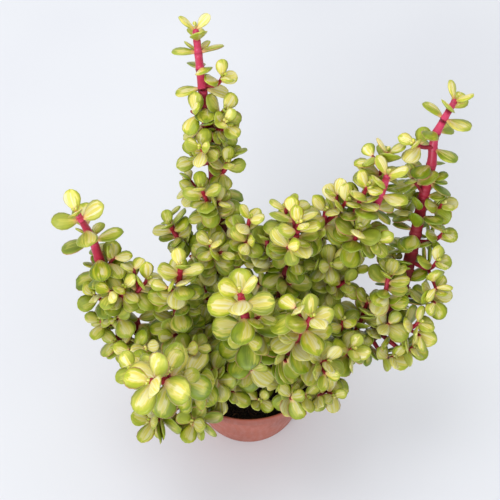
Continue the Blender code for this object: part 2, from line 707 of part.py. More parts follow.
def soil_relief(x, y):
    """The low heave of the soil's surface, a sum of two waves."""
    broad = math.sin(x * BROAD_WAVE[0] + WAVE_STARTS[0]) * math.cos(y * BROAD_WAVE[1])
    cross = math.sin(x * CROSS_WAVE[0] + y * CROSS_WAVE[1] + WAVE_STARTS[1])
    return SOIL_RELIEF * (broad + CROSS_SHARE * cross) / (1 + CROSS_SHARE)


def make_soil(mains, parts):
    """The potting soil: it fills the pot below the rim, and each stem has its own plain hole."""
    low = FLOOR_THICKNESS + SOIL_GAP
    kink = POT_HEIGHT - COLLAR_HEIGHT - COLLAR_SLOPE
    edge = pot_radius(min(SOIL_TOP, kink)) - WALL - SOIL_GAP
    rings = [(edge * (1 - step / SOIL_RINGS), SOIL_TOP) for step in range(SOIL_RINGS + 1)]
    foot = pot_radius(low) - WALL - SOIL_GAP
    soil = turned_mesh("soil", [(0, low), (foot, low), *rings][::-1], SOIL_SIDES)
    soil.modifiers["turn"].use_normal_flip = True
    apply_modifiers(soil)
    for vertex in soil.data.vertices:
        out = math.hypot(vertex.co.x, vertex.co.y)
        if vertex.co.z > SOIL_TOP - SOIL_GAP and out < edge * FLAT_EDGE:
            vertex.co.z += soil_relief(vertex.co.x, vertex.co.y)
    cutters = bpy.data.collections.new("stem holes")
    bpy.context.scene.collection.children.link(cutters)
    bottom = SOIL_TOP - ROOT_DEPTH - SOIL_GAP
    top = SOIL_TOP + HOLE_HEADROOM
    for axis in mains:
        radius = (axis.radii[0] + SOIL_GAP) / math.cos(math.pi / HOLE_SIDES)
        make_cutter(f"hole_{axis.plant}", radius, bottom, top, axis.points[0], HOLE_SIDES, cutters)
    cut_with(soil, cutters)
    place(soil, parts, material("peat soil", PEAT, 0.95))


def tube(name, axis, sides_step, collection):
    """A closed mesh tube along an axis, as thick as the axis at each of its points."""
    curve = bpy.data.curves.new(name, "CURVE")
    curve.dimensions = "3D"
    curve.bevel_depth = 1
    curve.bevel_resolution = sides_step
    curve.use_fill_caps = True
    spline = curve.splines.new("POLY")
    spline.points.add(len(axis.points) - 1)
    for spot, point, radius in zip(spline.points, axis.points, axis.radii):
        spot.co = (*point, 1)
        spot.radius = radius
    line = link_mesh(name + " line", curve, bpy.context.scene.collection)
    bpy.context.view_layer.update()
    graph = bpy.context.evaluated_depsgraph_get()
    mesh = bpy.data.meshes.new_from_object(line.evaluated_get(graph))
    bpy.data.objects.remove(line)
    shape = bmesh.new()
    shape.from_mesh(mesh)
    bmesh.ops.remove_doubles(shape, verts=shape.verts, dist=0.00001)
    bmesh.ops.recalc_face_normals(shape, faces=shape.faces)
    shape.to_mesh(mesh)
    shape.free()
    return link_mesh(name, mesh, collection)


def twig_mesh(name, axis, collection):
    """A straight four-sided twig, a little thinner at its tip."""
    base, tip = axis.points
    shape = bmesh.new()
    turn = (tip - base).to_track_quat("Z", "X").to_matrix().to_4x4()
    bmesh.ops.create_cone(
        shape, cap_ends=True, segments=4, radius1=axis.radii[0], radius2=axis.radii[1],
        depth=(tip - base).length, matrix=Matrix.Translation((base + tip) / 2) @ turn,
    )
    mesh = bpy.data.meshes.new(name)
    shape.to_mesh(mesh)
    shape.free()
    return link_mesh(name, mesh, collection)


def make_plant(plant, thicket, parts, finish):
    """One rooted stem with its branches, twigs and leaves, joined in one solid."""
    axes = [axis for axis in thicket.axes if axis.plant == plant]
    growth = bpy.data.collections.new(plant + " growth")
    bpy.context.scene.collection.children.link(growth)
    stem = tube(plant, axes[0], 1, bpy.context.scene.collection)
    for index, axis in enumerate(axes[1:]):
        if axis.shoot.route:
            tube(f"{plant} branch {index}", axis, 0 if axis.radii[0] < THIN_BRANCH else 1, growth)
        else:
            twig_mesh(f"{plant} twig {index}", axis, growth)
    for index, leaf in enumerate(leaf for leaf in thicket.leaves if leaf.plant == plant):
        shape = leaf.to_bmesh()
        mesh = bpy.data.meshes.new(f"{plant} leaf {index}")
        shape.to_mesh(mesh)
        shape.free()
        link_mesh(mesh.name, mesh, growth)
    join = stem.modifiers.new("growth", "BOOLEAN")
    join.operation = "UNION"
    join.operand_type = "COLLECTION"
    join.collection = growth
    join.solver = "MANIFOLD"
    apply_modifiers(stem)
    for thing in list(growth.objects):
        bpy.data.objects.remove(thing)
    bpy.data.collections.remove(growth)
    place(stem, parts, finish)


def place(thing, parts, finish):
    """Moves the object to the collection of parts, shades its round sides smooth and gives it its finish."""
    for collection in list(thing.users_collection):
        collection.objects.unlink(thing)
    parts.objects.link(thing)
    thing.data.shade_smooth()
    thing.data.set_sharp_from_angle(angle=SHARP_FOLD)
    thing.data.materials.clear()
    thing.data.materials.append(finish)


def main():
    """Grows and builds the plants, their pot and its soil, and gives what has grown."""
    clear_scene()
    parts = bpy.data.collections.new("dwarf jade in a pot")
    bpy.context.scene.collection.children.link(parts)
    thicket = grow_all()
    mains = [axis for axis in thicket.axes if axis.parent is None]
    make_pot(parts)
    make_soil(mains, parts)
    finish = material("jade leaf", JADE, 0.4)
    for plant in PLANTS:
        make_plant(plant, thicket, parts, finish)
    return thicket


if __name__ == "__main__":
    main()
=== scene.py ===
"""Dressing of a variegated dwarf jade (Portulacaria afra) in a round nursery pot, in metres, +Z up.

The leafy stems are grown again by the rule and the draws of their solids, so that each fine leaf stands
where its solid's plain blade stands. A second growth then fills the crown with the leaves, twigs and buds
that are too many for the solids. Pot and soil are turned and grained to the solids' sizes.
"""

import json
import logging
import math
import random
from dataclasses import dataclass, field
from enum import Enum
from typing import Iterator

import bmesh
import bpy
import numpy as np
from mathutils import Matrix, Vector, noise
from mathutils.bvhtree import BVHTree

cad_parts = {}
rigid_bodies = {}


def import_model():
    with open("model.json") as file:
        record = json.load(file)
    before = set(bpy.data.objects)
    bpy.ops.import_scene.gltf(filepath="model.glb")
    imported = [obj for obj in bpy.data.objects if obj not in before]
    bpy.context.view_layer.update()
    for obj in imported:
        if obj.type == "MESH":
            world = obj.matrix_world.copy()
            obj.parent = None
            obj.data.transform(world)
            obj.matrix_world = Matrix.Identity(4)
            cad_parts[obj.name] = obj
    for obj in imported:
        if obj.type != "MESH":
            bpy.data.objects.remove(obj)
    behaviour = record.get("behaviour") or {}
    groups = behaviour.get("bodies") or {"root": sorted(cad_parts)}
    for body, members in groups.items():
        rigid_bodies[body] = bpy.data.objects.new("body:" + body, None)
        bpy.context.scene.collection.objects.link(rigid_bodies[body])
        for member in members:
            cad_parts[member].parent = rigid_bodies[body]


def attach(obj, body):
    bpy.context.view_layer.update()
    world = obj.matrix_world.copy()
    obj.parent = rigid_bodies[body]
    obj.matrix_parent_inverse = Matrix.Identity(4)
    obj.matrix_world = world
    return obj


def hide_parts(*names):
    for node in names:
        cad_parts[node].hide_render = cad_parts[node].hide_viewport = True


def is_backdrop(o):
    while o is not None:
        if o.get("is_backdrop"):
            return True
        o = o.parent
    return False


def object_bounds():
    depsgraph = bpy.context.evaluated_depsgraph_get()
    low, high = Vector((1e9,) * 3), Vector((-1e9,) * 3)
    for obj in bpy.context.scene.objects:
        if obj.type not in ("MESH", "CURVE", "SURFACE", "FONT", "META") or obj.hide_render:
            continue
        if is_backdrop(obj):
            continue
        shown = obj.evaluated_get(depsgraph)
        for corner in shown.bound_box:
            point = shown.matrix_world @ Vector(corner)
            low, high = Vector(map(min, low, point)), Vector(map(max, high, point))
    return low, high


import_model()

MM = 0.001
SEED = 7
SOIL_TOP = 70 * MM
ROOT_DEPTH = 26 * MM
BOX_MARGIN = 0.5 * MM
log = logging.getLogger("dwarf jade")


@dataclass(frozen=True)
class Shoot:
    """A stem or branch: where it runs and how it is clothed, in millimetres and degrees.

    Args:
        route: Places that its centre line passes, from the base to the tip.
        base_radius: Its radius at the base.
        tip_radius: Its radius at the tip.
        leaf: The length of a full leaf.
        bare: The length at its base that carries no leaf.
        pitch: The distance between full pairs of leaves.
        roll: The turn of the pair at its tip.
        pairs: The most pairs that it carries.
        twigs: The chance of a side twig in a leaf's axil.
        longest_twig: The greatest length of such a twig.
        old_leaves: The chance that a leaf on old wood is still there.
        tip_age: How old the wood is at its tip, from 0 to 1.
    """

    route: tuple
    base_radius: float
    tip_radius: float
    leaf: float = 14
    bare: float = 8
    pitch: float = 11
    roll: float = 0
    pairs: int = 4
    twigs: float = 0.0
    longest_twig: float = 20
    old_leaves: float = 0.35
    tip_age: float = 0.0


# The rooted plants, as the solids have them: a main stem first, then its branches
PLANTS = {
    "stem_tall": (
        Shoot(
            ((-8, 8, 73), (-11, 24, 100), (-16, 44, 135), (-20, 65, 172), (-25, 86, 211), (-29, 108, 248)),
            4.0, 1.8, leaf=13.5, bare=24, pairs=99, twigs=0.12, old_leaves=0.65,
        ),
        Shoot(((-13, 33, 115), (-30, 40, 123), (-42, 43, 136), (-48, 45, 150)), 1.7, 1.2, leaf=13.5, roll=20),
        Shoot(((-12, 27, 106), (-19, 23, 130), (-22, 24, 160)), 1.6, 1.1, roll=45, pairs=5),
        Shoot(((-16, 46, 138), (-21, 44, 162), (-27, 47, 184)), 1.5, 1.1, roll=10),
        Shoot(((-11, 25, 102), (-5, 28, 140), (1, 31, 176)), 1.7, 1.1, leaf=13, roll=30),
        Shoot(((-19, 60, 164), (-28, 57, 163), (-32, 54, 173)), 1.4, 1.0, leaf=13, bare=6, roll=20, pairs=3),
        Shoot(((-21, 70, 181), (-29, 67, 181), (-32, 66, 190)), 1.4, 1.0, leaf=13, bare=6, pairs=2),
        Shoot(((-20, 65, 172), (-14, 61, 182), (-12, 60, 191)), 1.4, 1.0, leaf=13, bare=6, roll=30, pairs=2),
        Shoot(((-22, 74, 189), (-25, 65, 195), (-27, 61, 203)), 1.4, 1.0, leaf=13, bare=6, roll=10, pairs=3),
        Shoot(((-23, 79, 198), (-15, 75, 202), (-13, 72, 212)), 1.4, 1.0, leaf=13, bare=6, pairs=2),
        Shoot(((-26, 92, 221), (-18, 91, 222), (-14, 89, 231)), 1.3, 0.9, leaf=12, bare=5, roll=40, pairs=2),
    ),
    "stem_left": (
        Shoot(
            ((-14, -3, 73), (-29, -6, 82), (-48, -6, 92), (-68, -3, 104), (-81, 6, 122), (-86, 15, 145),
             (-90, 23, 168), (-95, 25, 190)),
            3.8, 1.8, leaf=16.5, bare=14, pitch=12.5, roll=35, pairs=99, twigs=0.2, old_leaves=0.45,
        ),
        Shoot(
            ((-24, -5, 79), (-36, -13, 97), (-42, -10, 120), (-41, -3, 145), (-38, 4, 167)),
            2.6, 1.5, leaf=15, roll=50, pairs=9, twigs=0.2,
        ),
        Shoot(((-56, -5, 97), (-62, -16, 106), (-61, -22, 118)), 1.5, 1.1, roll=30, pairs=3),
        Shoot(((-58, -5, 98), (-71, -14, 101), (-80, -15, 112)), 1.5, 1.1, leaf=13.5, roll=20, pairs=3),
        Shoot(((-78, 3, 116), (-86, -4, 113), (-89, -6, 123)), 1.4, 1.0, leaf=13.5, bare=6, roll=30, pairs=2),
        Shoot(((-82, 8, 126), (-88, 5, 128), (-91, 3, 138)), 1.4, 1.0, bare=6, pairs=3),
        Shoot(((-83, 9, 128), (-75, 2, 136), (-72, 1, 149)), 1.4, 1.0, leaf=13.5, bare=6, pairs=3),
        Shoot(((-81, 6, 122), (-68, 2, 138), (-58, 5, 152)), 1.4, 1.0, leaf=13.5, roll=40, pairs=3),
        Shoot(((-38, -12, 103), (-37, -24, 112), (-36, -29, 127)), 1.4, 1.0, leaf=13, roll=15, pairs=3),
    ),
    "stem_right": (
        Shoot(
            ((16, -4, 73), (38, -9, 83), (60, -9, 92), (78, -4, 102), (91, 9, 118), (99, 30, 141),
             (104, 51, 166), (107, 63, 188), (106, 67, 204), (114, 74, 228)),
            4.4, 1.6, bare=22, roll=10, pairs=99, twigs=0.12, old_leaves=0.7,
        ),
        Shoot(((50, -9, 88), (57, -19, 103), (62, -24, 121)), 1.6, 1.1, roll=40),
        Shoot(((54, -9, 90), (56, -7, 107), (57, -7, 125)), 1.6, 1.1, leaf=13.5, roll=10),
        Shoot(((64, -9, 94), (68, -3, 111), (72, 4, 128)), 1.6, 1.1, roll=30),
        Shoot(((88, 6, 114), (82, 4, 132), (82, 9, 150)), 1.6, 1.1),
        Shoot(((76, -5, 101), (86, -15, 90), (90, -18, 98)), 1.4, 1.0, leaf=13.5, bare=6, roll=20, pairs=2),
        Shoot(((80, -2, 103), (96, -13, 97), (101, -16, 107)), 1.5, 1.1, roll=20, pairs=3),
        Shoot(((84, 0, 108), (97, -6, 112), (103, -7, 122)), 1.5, 1.1, bare=6, roll=35, pairs=3),
        Shoot(((93, 13, 122), (110, 13, 118), (115, 12, 129)), 1.4, 1.0, leaf=13.5, pairs=3),
        Shoot(((98, 27, 138), (110, 23, 135), (113, 22, 145)), 1.4, 1.0, leaf=13.5, bare=6, roll=30, pairs=2),
        Shoot(((100, 35, 147), (113, 38, 143), (117, 37, 153)), 1.4, 1.0, leaf=13.5, roll=10, pairs=3),
        Shoot(((104, 51, 166), (113, 49, 160), (115, 47, 169)), 1.4, 1.0, leaf=13, bare=6, roll=40, pairs=2),
        Shoot(((102, 43, 157), (95, 52, 150), (94, 56, 159)), 1.4, 1.0, leaf=13.5, bare=6, pairs=2),
        Shoot(((95, 19, 129), (90, 30, 123), (90, 32, 134)), 1.4, 1.0, leaf=13.5, bare=6, pairs=2),
        Shoot(((38, -9, 83), (48, -34, 86), (51, -43, 97)), 1.5, 1.0, leaf=12.5, pairs=3),
    ),
    "stem_back": (
        Shoot(
            ((9, 9, 73), (19, 17, 95), (33, 25, 120), (46, 29, 139), (59, 29, 158), (68, 31, 176),
             (74, 36, 190), (77, 41, 203)),
            4.0, 1.8, leaf=15.5, bare=22, roll=25, pairs=99, twigs=0.2,
        ),
        Shoot(
            ((11, 11, 78), (17, 11, 112), (23, 13, 150), (28, 17, 190)),
            2.9, 1.4, bare=30, pairs=7, twigs=0.12,
        ),
        Shoot(((66, 31, 172), (75, 50, 187), (79, 59, 201)), 1.8, 1.3, leaf=14.5, roll=20),
        Shoot(((57, 29, 155), (61, 22, 166), (62, 21, 179)), 1.5, 1.1, leaf=15.5, bare=5, roll=40, pairs=3),
        Shoot(((59, 29, 158), (61, 33, 180), (66, 36, 199)), 1.5, 1.1, leaf=14.5, roll=10, pairs=3),
        Shoot(((38, 27, 127), (43, 32, 156), (44, 32, 182)), 2.0, 1.3, roll=10),
        Shoot(((44, 32, 170), (51, 32, 181), (55, 32, 191)), 1.4, 1.0, leaf=13.5, roll=30, pairs=3),
        Shoot(((17, 11, 112), (12, 17, 140), (11, 24, 167)), 1.7, 1.1, roll=35),
        Shoot(((23, 13, 150), (24, 22, 170), (21, 31, 186)), 1.4, 1.0, leaf=13, pairs=3),
        Shoot(((33, 25, 120), (50, 15, 127), (58, 9, 141)), 1.5, 1.1, roll=20),
        Shoot(((46, 29, 139), (47, 20, 143), (48, 13, 155)), 1.4, 1.0, leaf=13.5, bare=6, pairs=3),
    ),
    "stem_front": (
        Shoot(
            ((-2, -12, 73), (-1, -22, 106), (0, -28, 146), (-4, -26, 189)),
            3.3, 1.7, leaf=17, bare=30, roll=10, pairs=8, twigs=0.15, tip_age=0.36,
        ),
        Shoot(
            ((-2, -15, 80), (12, -24, 104), (25, -29, 137), (34, -31, 171)),
            2.8, 1.6, leaf=16.5, bare=24, roll=45, pairs=7, twigs=0.15,
        ),
        Shoot(((-2, -19, 94), (-15, -30, 103), (-22, -37, 118)), 1.5, 1.1, roll=20),
        Shoot(((-2, -16, 84), (-14, -36, 85), (-19, -44, 95)), 1.5, 1.1, leaf=13, roll=40, pairs=3),
        Shoot(((5, -20, 92), (25, -37, 88), (35, -44, 98)), 1.5, 1.1, roll=20),
        Shoot(((20, -27, 124), (38, -34, 122), (45, -39, 135)), 1.5, 1.1, pairs=3),
    ),
    "stem_low": (
        Shoot(
            ((-13, -18, 73), (-22, -30, 95), (-36, -48, 130), (-51, -64, 162)),
            3.1, 1.7, leaf=18.5, bare=26, roll=15, pairs=99, twigs=0.2, tip_age=0.36,
        ),
        Shoot(
            ((-22, -30, 95), (-40, -46, 91), (-54, -56, 89), (-58, -60, 99)),
            1.6, 1.1, leaf=15, bare=12, roll=30,
        ),
        Shoot(
            ((-15, -21, 79), (-26, -45, 88), (-32, -56, 87), (-33, -60, 97)),
            1.6, 1.1, leaf=15, bare=12, pairs=3,
        ),
        Shoot(((-36, -48, 130), (-56, -47, 136), (-63, -50, 149)), 1.6, 1.1, roll=10, pairs=3),
    ),
    "sprig": (
        Shoot(((4, -34, 73), (6, -38, 78), (7, -41, 85)), 1.4, 1.0, leaf=11, bare=5, roll=30, pairs=2),
    ),
}

# Further thin shoots inside the crown, each with its plant and the number of the shoot that it leaves
INNER_SHOOTS = (
    (
        "stem_tall", 0,
        Shoot(((-24.5, 84, 208), (-18, 82, 207), (-13, 80, 214)), 1.3, 0.9, bare=5, pairs=2),
    ),
    (
        "stem_tall", 0,
        Shoot(((-8.7, 11.5, 80), (-12, 8, 105), (-14, 8, 128)), 1.4, 1.0),
    ),
    (
        "stem_tall", 0,
        Shoot(((-9.4, 16, 86), (-20, 14, 104), (-28, 12, 125)), 1.4, 1.0, roll=20),
    ),
    (
        "stem_left", 0,
        Shoot(((-18, -4, 75.5), (-25, 0, 95), (-30, -6, 118)), 1.4, 1.0, leaf=14.5, roll=50),
    ),
    (
        "stem_right", 0,
        Shoot(((106.5, 65, 199), (99, 62, 202), (93, 60, 208)), 1.3, 0.9, leaf=13, pairs=3, roll=30),
    ),
    (
        "stem_back", 0,
        Shoot(((62.5, 30, 165), (69, 24, 166), (73, 18, 172)), 1.3, 0.9, bare=5, roll=10, pairs=3),
    ),
    (
        "stem_back", 9,
        Shoot(((54, 12, 134), (61, 10, 140), (66, 11, 150)), 1.3, 0.9, leaf=13, bare=4, roll=30, pairs=3),
    ),
    (
        "stem_low", 0,
        Shoot(((-17.5, -24, 84), (-22, -20, 98), (-26, -13, 112)), 1.4, 1.0, leaf=14.5, roll=30),
    ),
    (
        "stem_back", 1,
        Shoot(((14, 11, 95), (14, 5, 108), (15, -1, 124)), 1.4, 1.0, roll=30),
    ),
)


@dataclass
class Axis:
    """The centre line of a stem or twig, as points with a radius at each.

    Args:
        points: Places along the centre line, from the base to the tip.
        radii: The stem's radius at each point.
        plant: The rooted plant that it belongs to.
        shoot: How it is clothed.
        parent: The axis that it leaves, or None for a rooted stem.
        age: How old its wood is at the tip, from 0 to 1.
        nodes: The distance and the turn of each pair of leaves.
        lengths: The length along the axis to each point.
        side: The side that leaf angles are counted from.
    """

    points: list
    radii: list
    plant: str
    shoot: Shoot
    parent: "Axis | None" = None
    age: float = 0.0
    nodes: list = field(default_factory=list)
    lengths: list = field(init=False)
    side: Vector = field(init=False)

    UPRIGHT_SHARE = 0.05

    def __post_init__(self) -> None:
        """Works out the length to each point, and the side, which is across the way that the axis leans."""
        self.lengths = [0.0]
        for first, second in zip(self.points, self.points[1:]):
            self.lengths.append(self.lengths[-1] + (second - first).length)
        span = self.points[-1] - self.points[0]
        side = span.cross(Vector((0, 0, 1)))
        leans = side.length > self.UPRIGHT_SHARE * span.length
        self.side = side.normalized() if leans else Vector((1, 0, 0))

    @property
    def length(self) -> float:
        """The length along the axis."""
        return self.lengths[-1]

    def at(self, distance: float) -> tuple:
        """Where the axis is at a distance from its base.

        Args:
            distance: The length along the axis.

        Returns:
            The point, the direction and the stem's radius there.
        """
        last = len(self.points) - 2
        index = max(0, min(last, sum(1 for done in self.lengths[1:] if done < distance)))
        first, second = self.points[index], self.points[index + 1]
        share = (distance - self.lengths[index]) / (self.lengths[index + 1] - self.lengths[index])
        radius = self.radii[index] * (1 - share) + self.radii[index + 1] * share
        return first.lerp(second, share), (second - first).normalized(), radius

    def spots(self, step: float) -> tuple:
        """Places along the axis.

        Args:
            step: About how far apart they are.

        Returns:
            An array of the places, and one of the stem's radius at each.
        """
        count = max(2, math.ceil(self.length / step))
        places = [self.at(self.length * index / count) for index in range(count + 1)]
        return np.array([place[0] for place in places]), np.array([place[2] for place in places])

    def outward(self, direction: Vector, angle: float) -> Vector:
        """A way out of the stem, square to it.

        Args:
            direction: The stem's direction.
            angle: The turn about the stem, in degrees.

        Returns:
            A unit vector.
        """
        first = (self.side - direction * self.side.dot(direction)).normalized()
        second = direction.cross(first)
        turn = math.radians(angle)
        return first * math.cos(turn) + second * math.sin(turn)


@dataclass
class Blade:
    """One leaf: a frame at its root, and its sizes.

    Args:
        root: Where the leaf leaves the stem's bark.
        along: The way from root to tip.
        face: The way that the upper face looks.
        length: From the root to the tip.
        sunk: How far the root reaches into the stem.
        arch: How far the tip drops, as a share of the length.
        plant: The rooted plant that it grows on.
        youth: 1 in a bud at the tip of a shoot, 0 on old wood.
    """

    root: Vector
    along: Vector
    face: Vector
    length: float
    sunk: float
    arch: float
    plant: str
    youth: float = 0.0

    RINGS = ((0.15, 0.40, 0.8), (0.54, 1.0, 1.0), (0.86, 0.76, 0.75))
    SMALL_RINGS = ((0.34, 0.78, 0.9), (0.78, 0.96, 0.9))
    SMALL = 12.4 * MM
    WIDTH_SHARE = 0.80
    FULL_THICKNESS = 2.1 * MM
    KEEL_SHARE = 0.75
    ROOT_DROP = 0.3
    TIP_DROP = 0.2

    @property
    def half_width(self) -> float:
        """Half of the greatest width."""
        return self.length * self.WIDTH_SHARE / 2

    @property
    def tip(self) -> Vector:
        """Where the leaf ends."""
        return self.root + self.along * self.length

    @property
    def thickness(self) -> float:
        """The greatest thickness, less on a small leaf."""
        return self.FULL_THICKNESS * min(1.0, 0.6 + self.length / (35 * MM))

    def matrix(self) -> Matrix:
        """Turns local X to the leaf's width, Y to its upper face and Z to its tip.

        Returns:
            The matrix that sets a leaf drawn at the origin in its place.
        """
        width = self.face.cross(self.along)
        turn = Matrix((width, self.face, self.along)).transposed().to_4x4()
        return Matrix.Translation(self.root) @ turn

    def keeled_form(self, grow: float = 0.0) -> bmesh.types.BMesh:
        """The leaf as its solid has it: three sides, flat above and keeled below.

        Args:
            grow: How much fatter to make it, to keep a distance.

        Returns:
            A closed bmesh, which the caller frees.
        """
        rings = self.RINGS if self.length > self.SMALL else self.SMALL_RINGS
        steps = len(rings) + 1
        shape = bmesh.new()
        bmesh.ops.create_uvsphere(shape, u_segments=3, v_segments=steps, radius=1)
        for vertex in shape.verts:
            ring = round(math.acos(max(-1.0, min(1.0, -vertex.co.z))) / math.pi * steps)
            if ring == 0:
                vertex.co = (0, -self.ROOT_DROP * self.thickness, -self.sunk)
                continue
            if ring == steps:
                vertex.co = (0, -self.arch * self.length - self.TIP_DROP * self.thickness, self.length)
                continue
            station, width_share, thickness_share = rings[ring - 1]
            sag = self.arch * self.length * station**2
            depth = self.thickness * thickness_share
            if vertex.co.y > 0:
                vertex.co = (0, -self.KEEL_SHARE * depth - grow - sag, self.length * station)
            else:
                side = -1 if vertex.co.x > 0 else 1
                edge = self.half_width * width_share + grow
                rise = (1 - self.KEEL_SHARE) * depth + grow
                vertex.co = (side * edge, rise - sag, self.length * station)
        shape.transform(self.matrix())
        return shape


@dataclass
class Room:
    """The pot that the growth keeps clear of, and the box that the fine growth stays inside.

    Args:
        low: The lowest corner of the box.
        high: The highest corner of the box.
        pot: The pot.
        soil_surface: The highest that the soil reaches.
    """

    low: Vector
    high: Vector
    pot: "NurseryPot"
    soil_surface: float = 70.9 * MM

    def near_pot(self, points: np.ndarray, margin: float) -> bool:
        """Whether something comes too near to the pot's wall, the soil or the floor.

        Args:
            points: Places on it.
            margin: The distance to keep.

        Returns:
            True if a point lies within the margin.
        """
        out = np.hypot(points[:, 0], points[:, 1])
        height = points[:, 2]
        inside = out < self.pot.rim_radius - 2 * self.pot.wall - margin
        in_soil = inside & (height < self.soil_surface + margin)
        flare = self.pot.rim_radius - self.pot.foot_radius
        wall_radius = self.pot.foot_radius + flare * np.clip(height / self.pot.height, 0, 1)
        in_wall = ~inside & (out < wall_radius + 2 * margin) & (height < self.pot.height + margin)
        return bool((in_soil | in_wall | (height < 2 * margin)).any())

    def holds(self, points: np.ndarray) -> bool:
        """True if every point lies inside the box."""
        return bool((points > np.array(self.low)).all() and (points < np.array(self.high)).all())


class Thicket:
    """Everything grown so far, and whether something new would touch it."""

    SPOT_STEP = 1.5 * MM
    COMPANY_REACH = 15 * MM
    LEAST_COMPANY = 3
    CANOPY_RADIUS = 11 * MM
    CANOPY_SPREAD = 0.35
    CANOPY_SPAN = (3 * MM, 60 * MM)
    FULL_CANOPY = 16

    def __init__(self, room: Room, clearance: float) -> None:
        """Starts with nothing grown, not confined to the box, and with no core to keep close to.

        Args:
            room: The pot to keep clear of, and the box.
            clearance: The least distance between a new leaf and what stands already.
        """
        self.room = room
        self.clearance = clearance
        self.confined = False
        self.core = 0
        self.axes: list[Axis] = []
        self.blades: list[Blade] = []
        self.trees: list[BVHTree] = []
        self.spots = np.zeros((0, 3))
        self.reaches = np.zeros(0)
        self.owners = np.zeros(0, int)
        self.lows = np.zeros((0, 3))
        self.highs = np.zeros((0, 3))

    def add_axis(self, axis: Axis) -> None:
        """Keeps an axis, with spots close together along it and the stem's radius at each.

        Args:
            axis: The new stem or twig.
        """
        spots, radii = axis.spots(self.SPOT_STEP)
        self.spots = np.vstack((self.spots, spots))
        self.reaches = np.append(self.reaches, radii)
        self.owners = np.append(self.owners, np.full(len(spots), len(self.axes)))
        self.axes.append(axis)

    def add_blade(self, blade: Blade) -> None:
        """Keeps a leaf, with its tree of faces and its box.

        Args:
            blade: The new leaf.
        """
        shape = blade.keeled_form()
        points = np.array([vertex.co for vertex in shape.verts])
        self.blades.append(blade)
        self.trees.append(BVHTree.FromBMesh(shape))
        self.lows = np.vstack((self.lows, points.min(0)))
        self.highs = np.vstack((self.highs, points.max(0)))
        shape.free()

    def drop_blades(self, kept: int) -> None:
        """Takes back the newest leaves.

        Args:
            kept: The number of leaves that stay.
        """
        del self.blades[kept:]
        del self.trees[kept:]
        self.lows = self.lows[:kept]
        self.highs = self.highs[:kept]

    def shades(self) -> list:
        """How deep in the crown each leaf stands, by the leaves in a widening column above it, for the shade
        that the leaf finish paints on it.

        Returns:
            A number from 0 to 1 for each leaf.
        """
        middles = (self.lows + self.highs) / 2
        lowest, highest = self.CANOPY_SPAN
        depths = []
        for middle in middles:
            apart = middles - middle
            rise = apart[:, 2]
            across = np.hypot(apart[:, 0], apart[:, 1])
            widening = self.CANOPY_RADIUS + self.CANOPY_SPREAD * rise
            above = (across < widening) & (rise > lowest) & (rise < highest)
            depths.append(min(1.0, above.sum() / self.FULL_CANOPY))
        return depths

    def number(self, axis: Axis) -> int:
        """The place of an axis in the list, or -1 for one that isn't in it."""
        return next((index for index, one in enumerate(self.axes) if one is axis), -1)

    def has_company(self, tip: np.ndarray) -> bool:
        """Whether a leaf stays among the core, which keeps the outline.

        Args:
            tip: The leaf's tip.

        Returns:
            True if enough leaves of the core stand close round it.
        """
        middles = (self.lows[:self.core] + self.highs[:self.core]) / 2
        close = np.linalg.norm(middles - tip, axis=1) < self.COMPANY_REACH
        return bool(close.sum() >= self.LEAST_COMPANY)

    def near_axes(self, tree: BVHTree, low: np.ndarray, high: np.ndarray, parent: Axis) -> bool:
        """Whether a leaf comes too near to a stem.

        Args:
            tree: The leaf's faces.
            low: The lowest corner of its box.
            high: The highest corner of its box.
            parent: The axis that it grows on, which it may touch.

        Returns:
            True if another axis lies within the clearance of its surface.
        """
        reach = (self.reaches + self.clearance)[:, None]
        inside = ((self.spots + reach > low) & (self.spots - reach < high)).all(1)
        for index in np.nonzero(inside & (self.owners != self.number(parent)))[0]:
            if tree.find_nearest(self.spots[index], self.reaches[index] + self.clearance)[0]:
                return True
        return False

    def takes_blade(self, blade: Blade, parent: Axis) -> bool:
        """Whether a leaf keeps its clearance to the pot, the stems and every other leaf.

        Args:
            blade: The leaf to try.
            parent: The axis that it grows on, which it may touch.

        Returns:
            True if it has room.
        """
        shape = blade.keeled_form(grow=self.clearance)
        points = np.array([vertex.co for vertex in shape.verts])
        tree = BVHTree.FromBMesh(shape)
        shape.free()
        low, high = points.min(0), points.max(0)
        if self.room.near_pot(points, 2 * self.clearance) or self.near_axes(tree, low, high, parent):
            return False
        if self.confined and not self.room.holds(points):
            return False
        if self.core and not self.has_company(np.array(blade.tip)):
            return False
        close = np.nonzero(((self.lows < high) & (self.highs > low)).all(1))[0]
        return not any(tree.overlap(self.trees[index]) for index in close)

    def takes_axis(self, axis: Axis) -> bool:
        """Whether a twig is clear of the pot, the other stems and every leaf.

        Args:
            axis: The twig to try.

        Returns:
            True if it has room.
        """
        spots, radii = axis.spots(self.SPOT_STEP)
        reach = radii.max() + self.clearance
        if self.room.near_pot(spots, reach):
            return False
        others = self.owners != self.number(axis.parent)
        gaps = np.linalg.norm(spots[:, None] - self.spots[others][None], axis=2) - self.reaches[others]
        if gaps.size and gaps.min() < reach + self.clearance:
            return False
        low, high = spots.min(0) - reach, spots.max(0) + reach
        close = np.nonzero(((self.lows < high) & (self.highs > low)).all(1))[0]
        leaves = (self.trees[index] for index in close)
        return not any(leaf.find_nearest(spot, reach)[0] for leaf in leaves for spot in spots)


@dataclass(frozen=True)
class Habit:
    """How the leaves at a shoot's tip differ from the full ones below, from the tip down.

    Args:
        shares: Each pair's length as a share of the full one.
        spreads: Each pair's angle off the stem, in degrees. The last holds for all pairs below.
        gaps: The distance from each pair to the next.
    """

    shares: tuple
    spreads: tuple
    gaps: tuple


